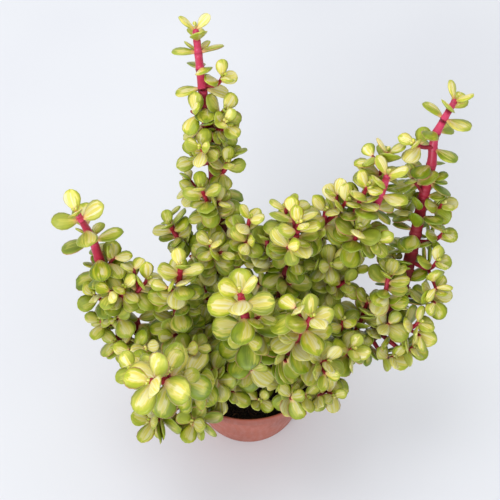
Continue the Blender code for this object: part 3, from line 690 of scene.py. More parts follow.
@dataclass
class Growth:
    """The rule by which stems, twigs and leaves grow, with its sizes."""

    path_step: float = 16 * MM
    clearance: float = 0.35 * MM
    branch_age: float = 0.4
    twig_age: float = 0.6

    # Leaves: the habit of each kind of shoot, how they hang and how far they turn to the light
    main: Habit = Habit((0.74, 0.9, 1.0), (42, 60, 73, 80, 86, 92, 97), (5 * MM, 7 * MM, 9 * MM))
    twig: Habit = Habit((0.7, 1.0), (46, 70, 82), (4.5 * MM, 7 * MM))
    bud: Habit = Habit((0.55, 1.0), (16, 34), (2.2 * MM,))
    full_pitch: float = 11
    old_wood: float = 62 * MM
    least_leaf: float = 4.5 * MM
    tip_inset: float = 1.2 * MM
    sunk_share: float = 0.85
    droop: float = 0.22
    droops_over: float = 50 * MM
    young_over: float = 45 * MM
    light: tuple = (0, -0.25, 0.97)
    faces_light: float = 0.45
    twist: float = 16
    wobble: float = 7
    arch_span: tuple = (0.02, 0.16)
    size_span: tuple = (0.92, 1.06)

    # Side twigs, longer the further they stand from the tip
    twig_leaf_share: float = 0.9
    twig_radius: float = 1.1 * MM
    twig_taper: float = 0.8
    twig_lean: float = 55
    twig_rise: float = 0.4
    twig_swing: float = 10
    twig_lift: float = 2.2 * MM
    twig_bare: float = 3
    twig_span: tuple = (0.65, 1.0)
    shortest_twig: float = 6 * MM
    twig_growth: float = 0.15
    first_twig: float = 16 * MM
    fewest_leaves: int = 2

    # Fine growth, which the solids leave out
    fine_clearance: float = 0.05 * MM
    open_tip: float = 46 * MM
    open_branch_tip: float = 13 * MM
    fine_twigs: float = 0.6
    fine_twig_span: tuple = (7 * MM, 16 * MM)
    fine_twig_tries: int = 4
    fine_twig_swing: float = 55
    fine_fewest_leaves: int = 3
    long_twig: float = 13 * MM
    fine_least_share: float = 0.66
    inner_tries: int = 60
    inner_swing: float = 9 * MM
    bud_leaf: float = 5.0 * MM
    least_bud_share: float = 0.4
    bud_inset: float = 0.4 * MM
    twig_buds: float = 0.35
    axil_lift: float = 1.5 * MM
    axil_spread: float = 50
    axil_leaf_span: tuple = (0.7, 1.0)

    # Lift, turn and size of each try at a leaf, in degrees and as a share
    BENDS = (
        (0, 0, 1), (14, 0, 1), (-14, 0, 1), (0, 16, 1), (0, -16, 1), (-26, 0, 0.95), (22, 12, 0.95),
        (22, -12, 0.95), (-20, 26, 0.9), (-20, -26, 0.9), (-34, 0, 0.8), (0, 0, 0.72), (-24, 20, 0.65),
    )
    ALL_PAIRS = 99

    @staticmethod
    def smooth_line(points: list, step: float) -> list:
        """A smooth curve through the given points, steered at each by the points on both its sides.

        Args:
            points: The places that it passes.
            step: About how far apart its own points are.

        Returns:
            The curve's points.
        """
        ends = [points[0] * 2 - points[1], *points, points[-1] * 2 - points[-2]]
        line = [points[0]]
        for before, first, second, after in zip(ends, ends[1:], ends[2:], ends[3:]):
            count = max(1, round((second - first).length / step))
            for index in range(1, count + 1):
                t = index / count
                linear = first * 2 + (second - before) * t
                square = (before * 2 - first * 5 + second * 4 - after) * t**2
                cube = (first * 3 - before - second * 3 + after) * t**3
                line.append(0.5 * (linear + square + cube))
        return line

    def axis_of(self, shoot: Shoot, plant: str, parent: Axis | None = None) -> Axis:
        """The centre line of a listed shoot, from its root in the soil or its parent's centre.

        Args:
            shoot: The listed shoot.
            plant: The rooted plant that it belongs to.
            parent: The axis that it leaves, or None for a rooted stem.

        Returns:
            The centre line.
        """
        line = self.smooth_line([Vector(point) * MM for point in shoot.route], self.path_step)
        count = len(line) - 1
        spread = shoot.base_radius - shoot.tip_radius
        shares = [(1 - index / count) ** 0.7 for index in range(count + 1)]
        radii = [(shoot.tip_radius + spread * share) * MM for share in shares]
        if parent is None:
            bottom = line[0].copy()
            bottom.z = SOIL_TOP - ROOT_DEPTH
            line.insert(0, bottom)
            radii.insert(0, radii[0])
        return Axis(line, radii, plant, shoot, parent)

    def node_distances(self, axis: Axis, gaps: tuple, pairs: int) -> Iterator[float]:
        """Where the pairs of leaves stand, from the tip downwards.

        Args:
            axis: The stem or twig.
            gaps: The distances between the first pairs.
            pairs: The most pairs.

        Yields:
            Each pair's distance from the base.
        """
        bare = axis.shoot.bare * MM
        if axis.parent is None:
            bare += ROOT_DEPTH
        stretch = axis.shoot.pitch / self.full_pitch
        distance = axis.length - self.tip_inset
        for count in range(pairs):
            if distance < bare:
                return
            yield distance
            distance -= gaps[count] * stretch if count < len(gaps) else axis.shoot.pitch * MM

    def leaf_at(
        self, axis: Axis, distance: float, angle: float, spread: float, length: float, draw: random.Random
    ) -> Blade:
        """A leaf that leaves the axis at the given turn and spread.

        Args:
            axis: The stem or twig.
            distance: How far from the stem's base.
            angle: The turn about the stem, in degrees.
            spread: The angle off the stem, in degrees.
            length: The leaf's length.
            draw: Gives the twist and the arch.

        Returns:
            The leaf.
        """
        point, direction, radius = axis.at(distance)
        outward = axis.outward(direction, angle)
        lean = math.radians(spread)
        along = direction * math.cos(lean) + outward * math.sin(lean)
        along.z -= self.droop * min(1.0, (axis.length - distance) / self.droops_over)
        along.normalize()
        up = direction + Vector(self.light) * self.faces_light
        face = (up - along * up.dot(along)).normalized()
        face.rotate(Matrix.Rotation(math.radians(draw.uniform(-self.twist, self.twist)), 3, along))
        youth = max(0.0, 1 - (axis.length - distance) / self.young_over) * (1 - 0.5 * axis.age)
        return Blade(
            root=point + along * radius,
            along=along,
            face=face,
            length=length,
            sunk=radius * self.sunk_share,
            arch=draw.uniform(*self.arch_span),
            plant=axis.plant,
            youth=youth,
        )

    def grow_leaf(
        self,
        thicket: Thicket,
        axis: Axis,
        distance: float,
        angle: float,
        spread: float,
        length: float,
        draw: random.Random,
        least: float,
    ) -> bool:
        """Tries a leaf where it belongs, then bent aside, then smaller, and leaves it out if none fits.

        Args:
            thicket: What stands already.
            axis: The stem or twig.
            distance: How far from the stem's base.
            angle: The turn about the stem, in degrees.
            spread: The angle off the stem, in degrees.
            length: The leaf's length.
            draw: The plant's draws.
            least: The shortest leaf worth growing.

        Returns:
            Whether a leaf was added.
        """
        wobble = draw.uniform(-self.wobble, self.wobble)
        size = draw.uniform(*self.size_span)
        for lift, turn, share in self.BENDS:
            own_draw = random.Random(draw.random())
            bent = angle + wobble + turn
            blade = self.leaf_at(axis, distance, bent, spread + lift, length * size * share, own_draw)
            if blade.length > least and thicket.takes_blade(blade, axis):
                thicket.add_blade(blade)
                return True
        return False

    def clothe(
        self,
        thicket: Thicket,
        axis: Axis,
        leaf_length: float,
        habit: Habit,
        draw: random.Random,
        least: float,
    ) -> None:
        """Sets pairs of leaves down an axis from its tip, each pair square to the last.

        Args:
            thicket: What stands already.
            axis: The stem or twig.
            leaf_length: The length of a full leaf.
            habit: How the pairs at the tip differ.
            draw: The plant's draws.
            least: The shortest leaf worth growing.
        """
        for index, distance in enumerate(self.node_distances(axis, habit.gaps, axis.shoot.pairs)):
            share = habit.shares[index] if index < len(habit.shares) else 1.0
            spread = habit.spreads[min(index, len(habit.spreads) - 1)]
            angle = axis.shoot.roll + 90 * index
            axis.nodes.append((distance, angle))
            for side in (0, 180):
                if axis.length - distance < self.old_wood or draw.random() < axis.shoot.old_leaves:
                    self.grow_leaf(
                        thicket, axis, distance, angle + side, spread, leaf_length * share, draw, least
                    )

    def twig_from(
        self,
        axis: Axis,
        distance: float,
        angle: float,
        length: float,
        draw: random.Random,
        pairs: int = 2,
    ) -> Axis:
        """A short side twig out of a leaf's axil, which leans up towards the light.

        Args:
            axis: The stem.
            distance: How far the leaf stands from the stem's base.
            angle: The turn about the stem, in degrees.
            length: How far the twig stands out of the stem.
            draw: The plant's draws.
            pairs: The most pairs of leaves.

        Returns:
            The twig's centre line.
        """
        point, direction, radius = axis.at(distance + self.twig_lift)
        outward = axis.outward(direction, angle + draw.uniform(-self.twig_swing, self.twig_swing))
        lean = math.radians(self.twig_lean)
        rise = Vector(self.light) * self.twig_rise
        along = (direction * math.cos(lean) + outward * math.sin(lean) + rise).normalized()
        bare = radius / MM + self.twig_bare
        shoot = Shoot((), base_radius=0, tip_radius=0, bare=bare, roll=draw.uniform(0, 90), pairs=pairs)
        ends = [point, point + along * (radius + length)]
        radii = [self.twig_radius, self.twig_radius * self.twig_taper]
        return Axis(ends, radii, axis.plant, shoot, axis, age=self.twig_age)

    def try_twig(
        self,
        thicket: Thicket,
        twig: Axis,
        leaf_length: float,
        least: float,
        fewest: int,
        draw: random.Random,
    ) -> bool:
        """Grows a leafy twig if it has room for itself and enough leaves.

        Args:
            thicket: What stands already.
            twig: The twig's centre line.
            leaf_length: The length of a full leaf.
            least: The shortest leaf worth growing.
            fewest: The fewest leaves that the twig is kept for.
            draw: The plant's draws.

        Returns:
            Whether the twig was kept.
        """
        if not thicket.takes_axis(twig):
            return False
        before = len(thicket.blades)
        self.clothe(thicket, twig, leaf_length, self.twig, draw, least)
        if len(thicket.blades) - before < fewest:
            thicket.drop_blades(before)
            return False
        thicket.add_axis(twig)
        return True

    def grow_solids(self, thicket: Thicket) -> None:
        """Grows what the solids have: listed shoots, then their leaves, then side twigs with leaves.

        Args:
            thicket: Takes what grows.
        """
        draws = {}
        listed = []
        for plant, shoots in PLANTS.items():
            draws[plant] = random.Random(f"{SEED} {plant}")
            main = self.axis_of(shoots[0], plant)
            listed.append(main)
            listed += [self.axis_of(shoot, plant, parent=main) for shoot in shoots[1:]]
        for axis in listed:
            axis.age = self.branch_age if axis.parent else axis.shoot.tip_age
            thicket.add_axis(axis)
        for axis in listed:
            draw = draws[axis.plant]
            self.clothe(thicket, axis, axis.shoot.leaf * MM, self.main, draw, self.least_leaf)
        for axis in listed:
            draw = draws[axis.plant]
            twig_leaf = axis.shoot.leaf * MM * self.twig_leaf_share
            for distance, angle in axis.nodes:
                if axis.length - distance <= self.first_twig:
                    continue
                for side in (0, 180):
                    reach = self.shortest_twig + self.twig_growth * (axis.length - distance)
                    length = min(axis.shoot.longest_twig * MM, reach) * draw.uniform(*self.twig_span)
                    if draw.random() <= axis.shoot.twigs:
                        twig = self.twig_from(axis, distance, angle + side, length, draw)
                        self.try_twig(thicket, twig, twig_leaf, self.least_leaf, self.fewest_leaves, draw)

    def fill_gaps(self, thicket: Thicket) -> None:
        """Adds the inner shoots, leaves, buds and twigs that the solids leave out, inside their box.

        Args:
            thicket: What the solids have, which takes what grows.
        """
        thicket.clearance = self.fine_clearance
        thicket.confined = True
        listed = {plant: [axis for axis in thicket.axes if axis.plant == plant] for plant in PLANTS}
        for number, (plant, parent, shoot) in enumerate(INNER_SHOOTS):
            draw = random.Random(f"{SEED} inner {number}")
            axis = self.inner_axis(thicket, listed[plant][parent], shoot, draw)
            if axis:
                thicket.add_axis(axis)
                self.clothe(thicket, axis, shoot.leaf * MM, self.main, draw, self.least_leaf)
            else:
                log.info("no room for inner shoot %d", number)
        thicket.core = len(thicket.blades)
        for number, axis in enumerate(list(thicket.axes)):
            draw = random.Random(f"{SEED} fine {axis.plant} {number}")
            if axis.shoot.route or draw.random() < self.twig_buds:
                self.grow_bud(thicket, axis, draw)
            if axis.shoot.route:
                self.fill_axis(thicket, axis, draw)

    def inner_axis(
        self,
        thicket: Thicket,
        parent: Axis,
        shoot: Shoot,
        draw: random.Random,
    ) -> Axis | None:
        """The centre line of an inner shoot, shifted further with each try until it has room.

        Args:
            thicket: What stands already.
            parent: The axis that it leaves.
            shoot: Where it should run.
            draw: The shoot's draws.

        Returns:
            The centre line, or None if no try had room.
        """
        listed = self.axis_of(shoot, parent.plant, parent=parent)
        count = len(listed.points) - 1
        for number in range(self.inner_tries):
            swing = self.inner_swing * number / self.inner_tries
            shift = Vector(draw.uniform(-swing, swing) for _ in range(3))
            points = [point + shift * (index / count) ** 0.5 for index, point in enumerate(listed.points)]
            axis = Axis(points, listed.radii, parent.plant, shoot, parent, age=self.branch_age)
            if thicket.takes_axis(axis):
                return axis
        return None

    def grow_bud(self, thicket: Thicket, axis: Axis, draw: random.Random) -> None:
        """Two pairs of small upright leaves at the tip of a shoot.

        Args:
            thicket: What stands already.
            axis: The shoot.
            draw: The shoot's draws.
        """
        least = self.least_bud_share * self.bud_leaf
        for index, (share, spread) in enumerate(zip(self.bud.shares, self.bud.spreads)):
            distance = axis.length - self.bud_inset - self.bud.gaps[0] * index * 0.5
            angle = axis.shoot.roll + 90 + 90 * index
            for side in (0, 180):
                length = self.bud_leaf * share
                self.grow_leaf(thicket, axis, distance, angle + side, spread, length, draw, least)

    def fill_axis(self, thicket: Thicket, axis: Axis, draw: random.Random) -> None:
        """Leaves, side twigs and axil leaves at the older nodes of a shoot, wherever one has room.

        Args:
            thicket: What stands already.
            axis: The shoot.
            draw: The shoot's draws.
        """
        full = axis.shoot.leaf * MM
        least = full * self.fine_least_share
        bare_tip = self.open_branch_tip if axis.parent else self.open_tip
        distances = enumerate(self.node_distances(axis, self.main.gaps, self.ALL_PAIRS))
        axis.nodes = [(distance, axis.shoot.roll + 90 * index) for index, distance in distances]
        old = [(distance, angle) for distance, angle in axis.nodes if axis.length - distance > bare_tip]
        spread = self.main.spreads[-1]
        for distance, angle in old:
            for side in (0, 180):
                self.grow_leaf(thicket, axis, distance, angle + side, spread, full, draw, least)
        for distance, angle in old:
            for side in (0, 180):
                if draw.random() < self.fine_twigs:
                    self.fill_axil(thicket, axis, distance, angle + side, draw)
        for distance, angle in old:
            for side in (0, 90, 180, 270):
                length = full * draw.uniform(*self.axil_leaf_span)
                above = distance + self.axil_lift
                self.grow_leaf(thicket, axis, above, angle + side, self.axil_spread, length, draw, least)

    def fill_axil(
        self, thicket: Thicket, axis: Axis, distance: float, angle: float, draw: random.Random
    ) -> None:
        """The first of a few side twigs, drawn at random, that has room for three leaves or more.

        Args:
            thicket: What stands already.
            axis: The stem.
            distance: How far from the stem's base.
            angle: The turn about the stem, in degrees.
            draw: The axis's draws.
        """
        full = axis.shoot.leaf * MM
        least = full * self.fine_least_share
        for number in range(self.fine_twig_tries):
            length = draw.uniform(*self.fine_twig_span)
            turn = draw.uniform(-1, 1) * self.fine_twig_swing if number else 0
            pairs = 3 if length > self.long_twig else 2
            twig = self.twig_from(axis, distance, angle + turn, length, draw, pairs)
            if self.try_twig(thicket, twig, full, least, self.fine_fewest_leaves, draw):
                return


class Graph:
    """A material's node tree, with short calls to add nodes and join them."""

    def __init__(self, name: str) -> None:
        """Starts a material with a Principled shader.

        Args:
            name: The material's name.
        """
        self.material = bpy.data.materials.new(name)
        self.material.use_nodes = True
        self.tree = self.material.node_tree
        self.surface = self.tree.nodes["Principled BSDF"]

    def join(self, value: object, socket: bpy.types.NodeSocket) -> None:
        """Links a value to a socket, or sets a constant on it.

        Args:
            value: A socket or a constant.
            socket: The socket that takes it.
        """
        if isinstance(value, bpy.types.NodeSocket):
            self.tree.links.new(value, socket)
        else:
            socket.default_value = value

    def finish(self, **inputs: object) -> bpy.types.Material:
        """Sets the shader's sockets.

        Args:
            inputs: A value for each socket, by its name with underscores.

        Returns:
            The material.
        """
        for name, value in inputs.items():
            self.join(value, self.surface.inputs[name.replace("_", " ")])
        return self.material

    def split(self, attribute: str) -> tuple:
        """The three parts of a vector that the mesh carries.

        Args:
            attribute: The attribute's name.

        Returns:
            Three sockets.
        """
        source = self.tree.nodes.new("ShaderNodeAttribute")
        source.attribute_name = attribute
        parts = self.tree.nodes.new("ShaderNodeSeparateXYZ")
        self.join(source.outputs["Vector"], parts.inputs[0])
        return tuple(parts.outputs)

    def place(self) -> bpy.types.NodeSocket:
        """The object's own coordinates, in metres."""
        return self.tree.nodes.new("ShaderNodeTexCoord").outputs["Object"]

    def stretched(self, vector: bpy.types.NodeSocket, scale: tuple) -> bpy.types.NodeSocket:
        """A vector scaled along each axis.

        Args:
            vector: The vector.
            scale: The three scales.

        Returns:
            The scaled vector's socket.
        """
        mapping = self.tree.nodes.new("ShaderNodeMapping")
        self.join(vector, mapping.inputs["Vector"])
        mapping.inputs["Scale"].default_value = scale
        return mapping.outputs[0]

    def vector(self, x: object, y: object, z: object) -> bpy.types.NodeSocket:
        """A vector out of three values.

        Args:
            x: The first value.
            y: The second value.
            z: The third value.

        Returns:
            The vector's socket.
        """
        made = self.tree.nodes.new("ShaderNodeCombineXYZ")
        for value, socket in zip((x, y, z), made.inputs):
            self.join(value, socket)
        return made.outputs[0]

    def math(self, operation: str, *values: object) -> bpy.types.NodeSocket:
        """The result of a math node.

        Args:
            operation: What it does.
            values: What it does it to.

        Returns:
            The result's socket.
        """
        made = self.tree.nodes.new("ShaderNodeMath")
        made.operation = operation
        for value, socket in zip(values, made.inputs):
            self.join(value, socket)
        return made.outputs[0]

    def times(self, value: object, factor: float) -> bpy.types.NodeSocket:
        """A value multiplied by a factor."""
        return self.math("MULTIPLY", value, factor)

    def ramp(
        self,
        value: object,
        low: float,
        high: float,
        start: float = 0,
        end: float = 1,
    ) -> bpy.types.NodeSocket:
        """A smooth step.

        Args:
            value: The value that it follows.
            low: Where the step starts.
            high: Where it ends.
            start: The result up to the low value.
            end: The result from the high value on.

        Returns:
            The result's socket.
        """
        made = self.tree.nodes.new("ShaderNodeMapRange")
        made.interpolation_type = "SMOOTHSTEP"
        sockets = ("Value", "From Min", "From Max", "To Min", "To Max")
        for item, name in zip((value, low, high, start, end), sockets):
            self.join(item, made.inputs[name])
        return made.outputs[0]

    def noise(self, vector: bpy.types.NodeSocket, scale: float, detail: float = 2) -> bpy.types.NodeSocket:
        """A noise pattern.

        Args:
            vector: The place that it is read at.
            scale: How many bumps it has in a unit of length.
            detail: How much finer noise is added.

        Returns:
            Its strength, from 0 to 1.
        """
        made = self.tree.nodes.new("ShaderNodeTexNoise")
        self.join(vector, made.inputs["Vector"])
        made.inputs["Scale"].default_value = scale
        made.inputs["Detail"].default_value = detail
        return made.outputs["Fac"]

    def mix(self, share: object, first: object, second: object) -> bpy.types.NodeSocket:
        """The first colour, mixed with a share of the second.

        Args:
            share: The second colour's share.
            first: The first colour.
            second: The second colour.

        Returns:
            The mixed colour's socket.
        """
        made = self.tree.nodes.new("ShaderNodeMix")
        made.data_type = "RGBA"
        factor, colour_a, colour_b = (made.inputs[index] for index in (0, 6, 7))
        for value, socket in ((share, factor), (first, colour_a), (second, colour_b)):
            self.join(value, socket)
        return made.outputs[2]

    def bump(self, height: object, strength: float, depth: float) -> bpy.types.NodeSocket:
        """A normal bent by a height.

        Args:
            height: The height, from 0 to 1.
            strength: How much of the bend is used.
            depth: The height's full range, in metres.

        Returns:
            The normal's socket.
        """
        made = self.tree.nodes.new("ShaderNodeBump")
        self.join(height, made.inputs["Height"])
        made.inputs["Strength"].default_value = strength
        made.inputs["Distance"].default_value = depth
        return made.outputs[0]


def linear(red: int, green: int, blue: int) -> tuple:
    """A colour as seen on screen, from 0 to 255, turned linear for a shader."""
    return (*(((value / 255 + 0.055) / 1.055) ** 2.4 for value in (red, green, blue)), 1)


@dataclass(frozen=True)
class LeafFinish:
    """Fleshy skin: cream down the middle, lime beside it and olive green round the margin, in streaks, with
    painted shade on leaves deep in the crown and a pale rim that is partly a painted highlight.
    """

    olive: tuple = linear(94, 118, 8)
    green: tuple = linear(144, 168, 20)
    lime: tuple = linear(196, 200, 36)
    fresh: tuple = linear(206, 206, 84)
    cream: tuple = linear(246, 238, 186)
    butter: tuple = linear(234, 220, 98)
    flush: tuple = linear(240, 190, 140)
    # Pale rim: partly the leaf's own pale margin, partly a painted highlight along its edge
    rim: tuple = linear(218, 216, 152)
    blush: tuple = linear(206, 104, 104)
    under: tuple = linear(128, 148, 26)
    # Painted shade: the dark olive that leaves deep in the crown are mixed towards
    shaded: tuple = linear(94, 114, 0)

    def material(self) -> bpy.types.Material:
        """The leaf's material, which reads the place on the leaf and the leaf's own traits.

        Returns:
            The material.
        """
        graph = Graph("jade_leaf")
        across, along, side = graph.split("place")
        band, streak, seed = graph.split("traits")
        youth, blush, edge = graph.split("growth")
        offset, shade, tone = graph.split("offset_shade_tone")
        own = graph.times(seed, 60)
        blotch = graph.noise(graph.vector(graph.times(across, 1.5), graph.times(along, 1.6), own), 1, 2)
        vein = graph.noise(graph.vector(graph.times(across, 4.8), graph.times(along, 1.0), own), 1, 2)
        centre = graph.math("SUBTRACT", across, offset)
        towards_tip = graph.ramp(along, 0.62, 1.02, 0, 1.0)
        spread = graph.math("MAXIMUM", graph.math("ABSOLUTE", centre), towards_tip)
        sway = graph.math("MULTIPLY", graph.math("SUBTRACT", vein, 0.5), streak)
        drift = graph.times(graph.math("SUBTRACT", blotch, 0.5), 1.6)
        reach = graph.math("ADD", graph.math("ADD", spread, sway), drift)
        past = graph.math("SUBTRACT", reach, band)
        pale = graph.mix(graph.ramp(vein, 0.35, 0.65), self.butter, self.cream)
        freshness = graph.ramp(graph.math("ADD", tone, graph.times(youth, 0.6)), 0.2, 1.3)
        lime = graph.mix(freshness, self.lime, self.fresh)
        green = graph.mix(graph.ramp(blotch, 0.3, 0.7), self.olive, self.green)
        skin = graph.mix(graph.ramp(past, -0.14, 0.12), pale, lime)
        margin = graph.ramp(past, 0.08, 0.58, 0, 0.96)
        grown = graph.ramp(youth, 0.2, 1.0, 1.0, 0.45)
        skin = graph.mix(graph.math("MULTIPLY", margin, grown), skin, green)
        # Painted shade: each leaf mixed towards dark olive by its depth in the crown, the count of leaves
        # above it
        skin = graph.mix(graph.times(shade, 0.4), skin, self.shaded)
        # Pale rim along each leaf's edge: partly its own pale margin, partly a painted edge highlight
        skin = graph.mix(graph.ramp(edge, 0.74, 0.98, 0, 0.5), skin, self.rim)
        skin = graph.mix(graph.math("MULTIPLY", graph.ramp(edge, 0.6, 0.95), blush), skin, self.blush)
        skin = graph.mix(graph.ramp(side, -0.1, -0.6, 0, 0.66), skin, self.under)
        skin = graph.mix(graph.ramp(along, 0.24, 0.0, 0, 0.8), skin, self.flush)
        grain = graph.noise(graph.place(), 1500, 3)
        height = graph.math("ADD", graph.times(vein, 0.6), graph.times(grain, 0.35))
        made = graph.finish(
            Base_Color=skin,
            Roughness=graph.ramp(grain, 0.3, 0.7, 0.32, 0.46),
            Normal=graph.bump(height, 0.4, 0.14 * MM),
            Subsurface_Weight=0.22,
            Subsurface_Scale=1.5 * MM,
            Specular_IOR_Level=0.42,
        )
        graph.surface.inputs["Subsurface Radius"].default_value = (1.0, 0.9, 0.3)
        return made


@dataclass(frozen=True)
class BarkFinish:
    """Smooth pink skin on young wood, dark red and then brown and rough on old wood."""

    tip: tuple = linear(210, 62, 104)
    young: tuple = linear(178, 30, 62)
    ripe: tuple = linear(134, 22, 38)
    old: tuple = linear(84, 42, 32)
    cork: tuple = linear(120, 88, 70)

    def material(self) -> bpy.types.Material:
        """The stem's material, which reads the wood's age and the rings at its nodes.

        Returns:
            The material.
        """
        graph = Graph("jade_bark")
        age, ring, _ = graph.split("bark")
        place = graph.place()
        blotch = graph.noise(place, 420, 3)
        grain = graph.noise(graph.stretched(place, (1, 1, 0.25)), 1800, 3)
        worn = graph.math("ADD", age, graph.times(graph.math("SUBTRACT", blotch, 0.5), 0.22))
        skin = graph.mix(graph.ramp(worn, 0.05, 0.38), self.tip, self.young)
        skin = graph.mix(graph.ramp(worn, 0.34, 0.62), skin, self.ripe)
        skin = graph.mix(graph.ramp(worn, 0.66, 1.0), skin, self.old)
        skin = graph.mix(graph.ramp(ring, 0.35, 1.0, 0, 0.45), skin, self.ripe)
        corky = graph.ramp(worn, 0.6, 1.0, 0, 0.7)
        skin = graph.mix(graph.math("MULTIPLY", graph.ramp(grain, 0.56, 0.72), corky), skin, self.cork)
        height = graph.math("MULTIPLY", grain, graph.ramp(worn, 0.1, 0.9, 0.25, 1.0))
        return graph.finish(
            Base_Color=skin,
            Roughness=graph.ramp(worn, 0.0, 0.9, 0.3, 0.7),
            Normal=graph.bump(height, 0.6, 0.25 * MM),
            Subsurface_Weight=0.08,
            Subsurface_Scale=1.0 * MM,
            Specular_IOR_Level=0.45,
        )


@dataclass(frozen=True)
class PlasticFinish:
    """Clay coloured plastic with a satin skin, scuffed all over and a little dirty near the rim."""

    body: tuple = linear(170, 90, 70)
    shade: tuple = linear(148, 74, 56)
    scuff: tuple = linear(182, 114, 94)
    dirt: tuple = linear(92, 62, 50)

    def material(self, height: float) -> bpy.types.Material:
        """The pot's material.

        Args:
            height: The pot's height, to set the dirt at its rim.

        Returns:
            The material.
        """
        graph = Graph("clay_plastic")
        place = graph.place()
        parts = graph.tree.nodes.new("ShaderNodeSeparateXYZ")
        graph.join(place, parts.inputs[0])
        level = parts.outputs[2]
        cloud = graph.noise(place, 34, 3)
        flow = graph.noise(graph.stretched(place, (1, 1, 0.12)), 330, 4)
        speck = graph.noise(place, 1900, 2)
        skin = graph.mix(graph.ramp(cloud, 0.3, 0.7), self.shade, self.body)
        skin = graph.mix(graph.ramp(flow, 0.58, 0.78, 0, 0.5), skin, self.scuff)
        near_rim = graph.ramp(level, height - 7 * MM, height - 0.5 * MM, 0.05, 0.5)
        dusty = graph.math("MULTIPLY", graph.ramp(speck, 0.66, 0.76), near_rim)
        skin = graph.mix(dusty, skin, self.dirt)
        ripple = graph.math("ADD", graph.times(flow, 0.7), graph.times(speck, 0.3))
        return graph.finish(
            Base_Color=skin,
            Roughness=graph.ramp(flow, 0.3, 0.75, 0.42, 0.6),
            Normal=graph.bump(ripple, 0.25, 0.15 * MM),
            Specular_IOR_Level=0.4,
            Subsurface_Weight=0.04,
            Subsurface_Scale=1.0 * MM,
        )


@dataclass(frozen=True)
class PeatFinish:
    """Dark damp peat with brown fibres and pale grains of perlite."""

    damp: tuple = linear(28, 23, 20)
    dry: tuple = linear(66, 50, 40)
    fibre: tuple = linear(118, 88, 62)
    perlite: tuple = linear(206, 200, 188)

    def material(self) -> bpy.types.Material:
        """The soil's material, which reads each grain's kind and shade.

        Returns:
            The material.
        """
        graph = Graph("peat")
        kind, shade, _ = graph.split("grain")
        place = graph.place()
        crumb = graph.noise(place, 900, 4)
        clod = graph.noise(place, 160, 3)
        earth = graph.mix(graph.ramp(crumb, 0.4, 0.75), self.damp, self.dry)
        earth = graph.mix(graph.times(shade, 0.5), earth, self.dry)
        earth = graph.mix(graph.ramp(kind, 0.4, 0.6), earth, self.fibre)
        earth = graph.mix(graph.ramp(kind, 0.9, 1.0), earth, self.perlite)
        height = graph.math("ADD", crumb, clod)
        return graph.finish(
            Base_Color=earth,
            Roughness=graph.ramp(clod, 0.3, 0.7, 0.82, 0.97),
            Normal=graph.bump(height, 0.8, 0.9 * MM),
            Specular_IOR_Level=0.25,
        )


@dataclass(frozen=True)
class PaperFinish:
    """The pale sweep that the pot stands on."""

    tone: tuple = linear(226, 228, 232)
    cloud: tuple = linear(222, 224, 229)

    def material(self) -> bpy.types.Material:
        """The floor's material.

        Returns:
            The material.
        """
        graph = Graph("paper")
        cloud = graph.noise(graph.place(), 3, 2)
        tone = graph.mix(graph.ramp(cloud, 0.35, 0.65), self.tone, self.cloud)
        return graph.finish(Base_Color=tone, Roughness=0.9, Specular_IOR_Level=0.1)


def piece_of(
    name: str,
    shape: bmesh.types.BMesh,
    finish: bpy.types.Material,
    node: str,
) -> bpy.types.Object:
    """Makes a finished piece of a bmesh and gives it to the frame.

    Args:
        name: The piece's name.
        shape: The bmesh, which is freed.
        finish: The piece's material.
        node: The solid that it stands for.

    Returns:
        The new object, shaded smooth.
    """
    mesh = bpy.data.meshes.new(name)
    shape.to_mesh(mesh)
    shape.free()
    mesh.shade_smooth()
    mesh.materials.append(finish)
    piece = bpy.data.objects.new(name, mesh)
    bpy.context.scene.collection.objects.link(piece)
    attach(piece, "root")
    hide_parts(node)
    log.info("%s: %d faces", name, len(mesh.polygons))
    return piece


# What each vertex of a leaf carries for its finish, the depth that sets the painted shade among it
LEAF_LAYERS = ("place", "traits", "growth", "offset_shade_tone")


class Variegation(Enum):
    """How cream and green share a leaf: spans of the cream's half width and of the streaks' strength."""

    BANDED = ((0.16, 0.50), (0.5, 1.1))
    STREAKED = ((0.22, 0.62), (1.4, 2.4))
    GREEN = ((-0.35, 0.0), (1.0, 2.0))
    CREAM = ((0.85, 1.30), (0.8, 1.6))


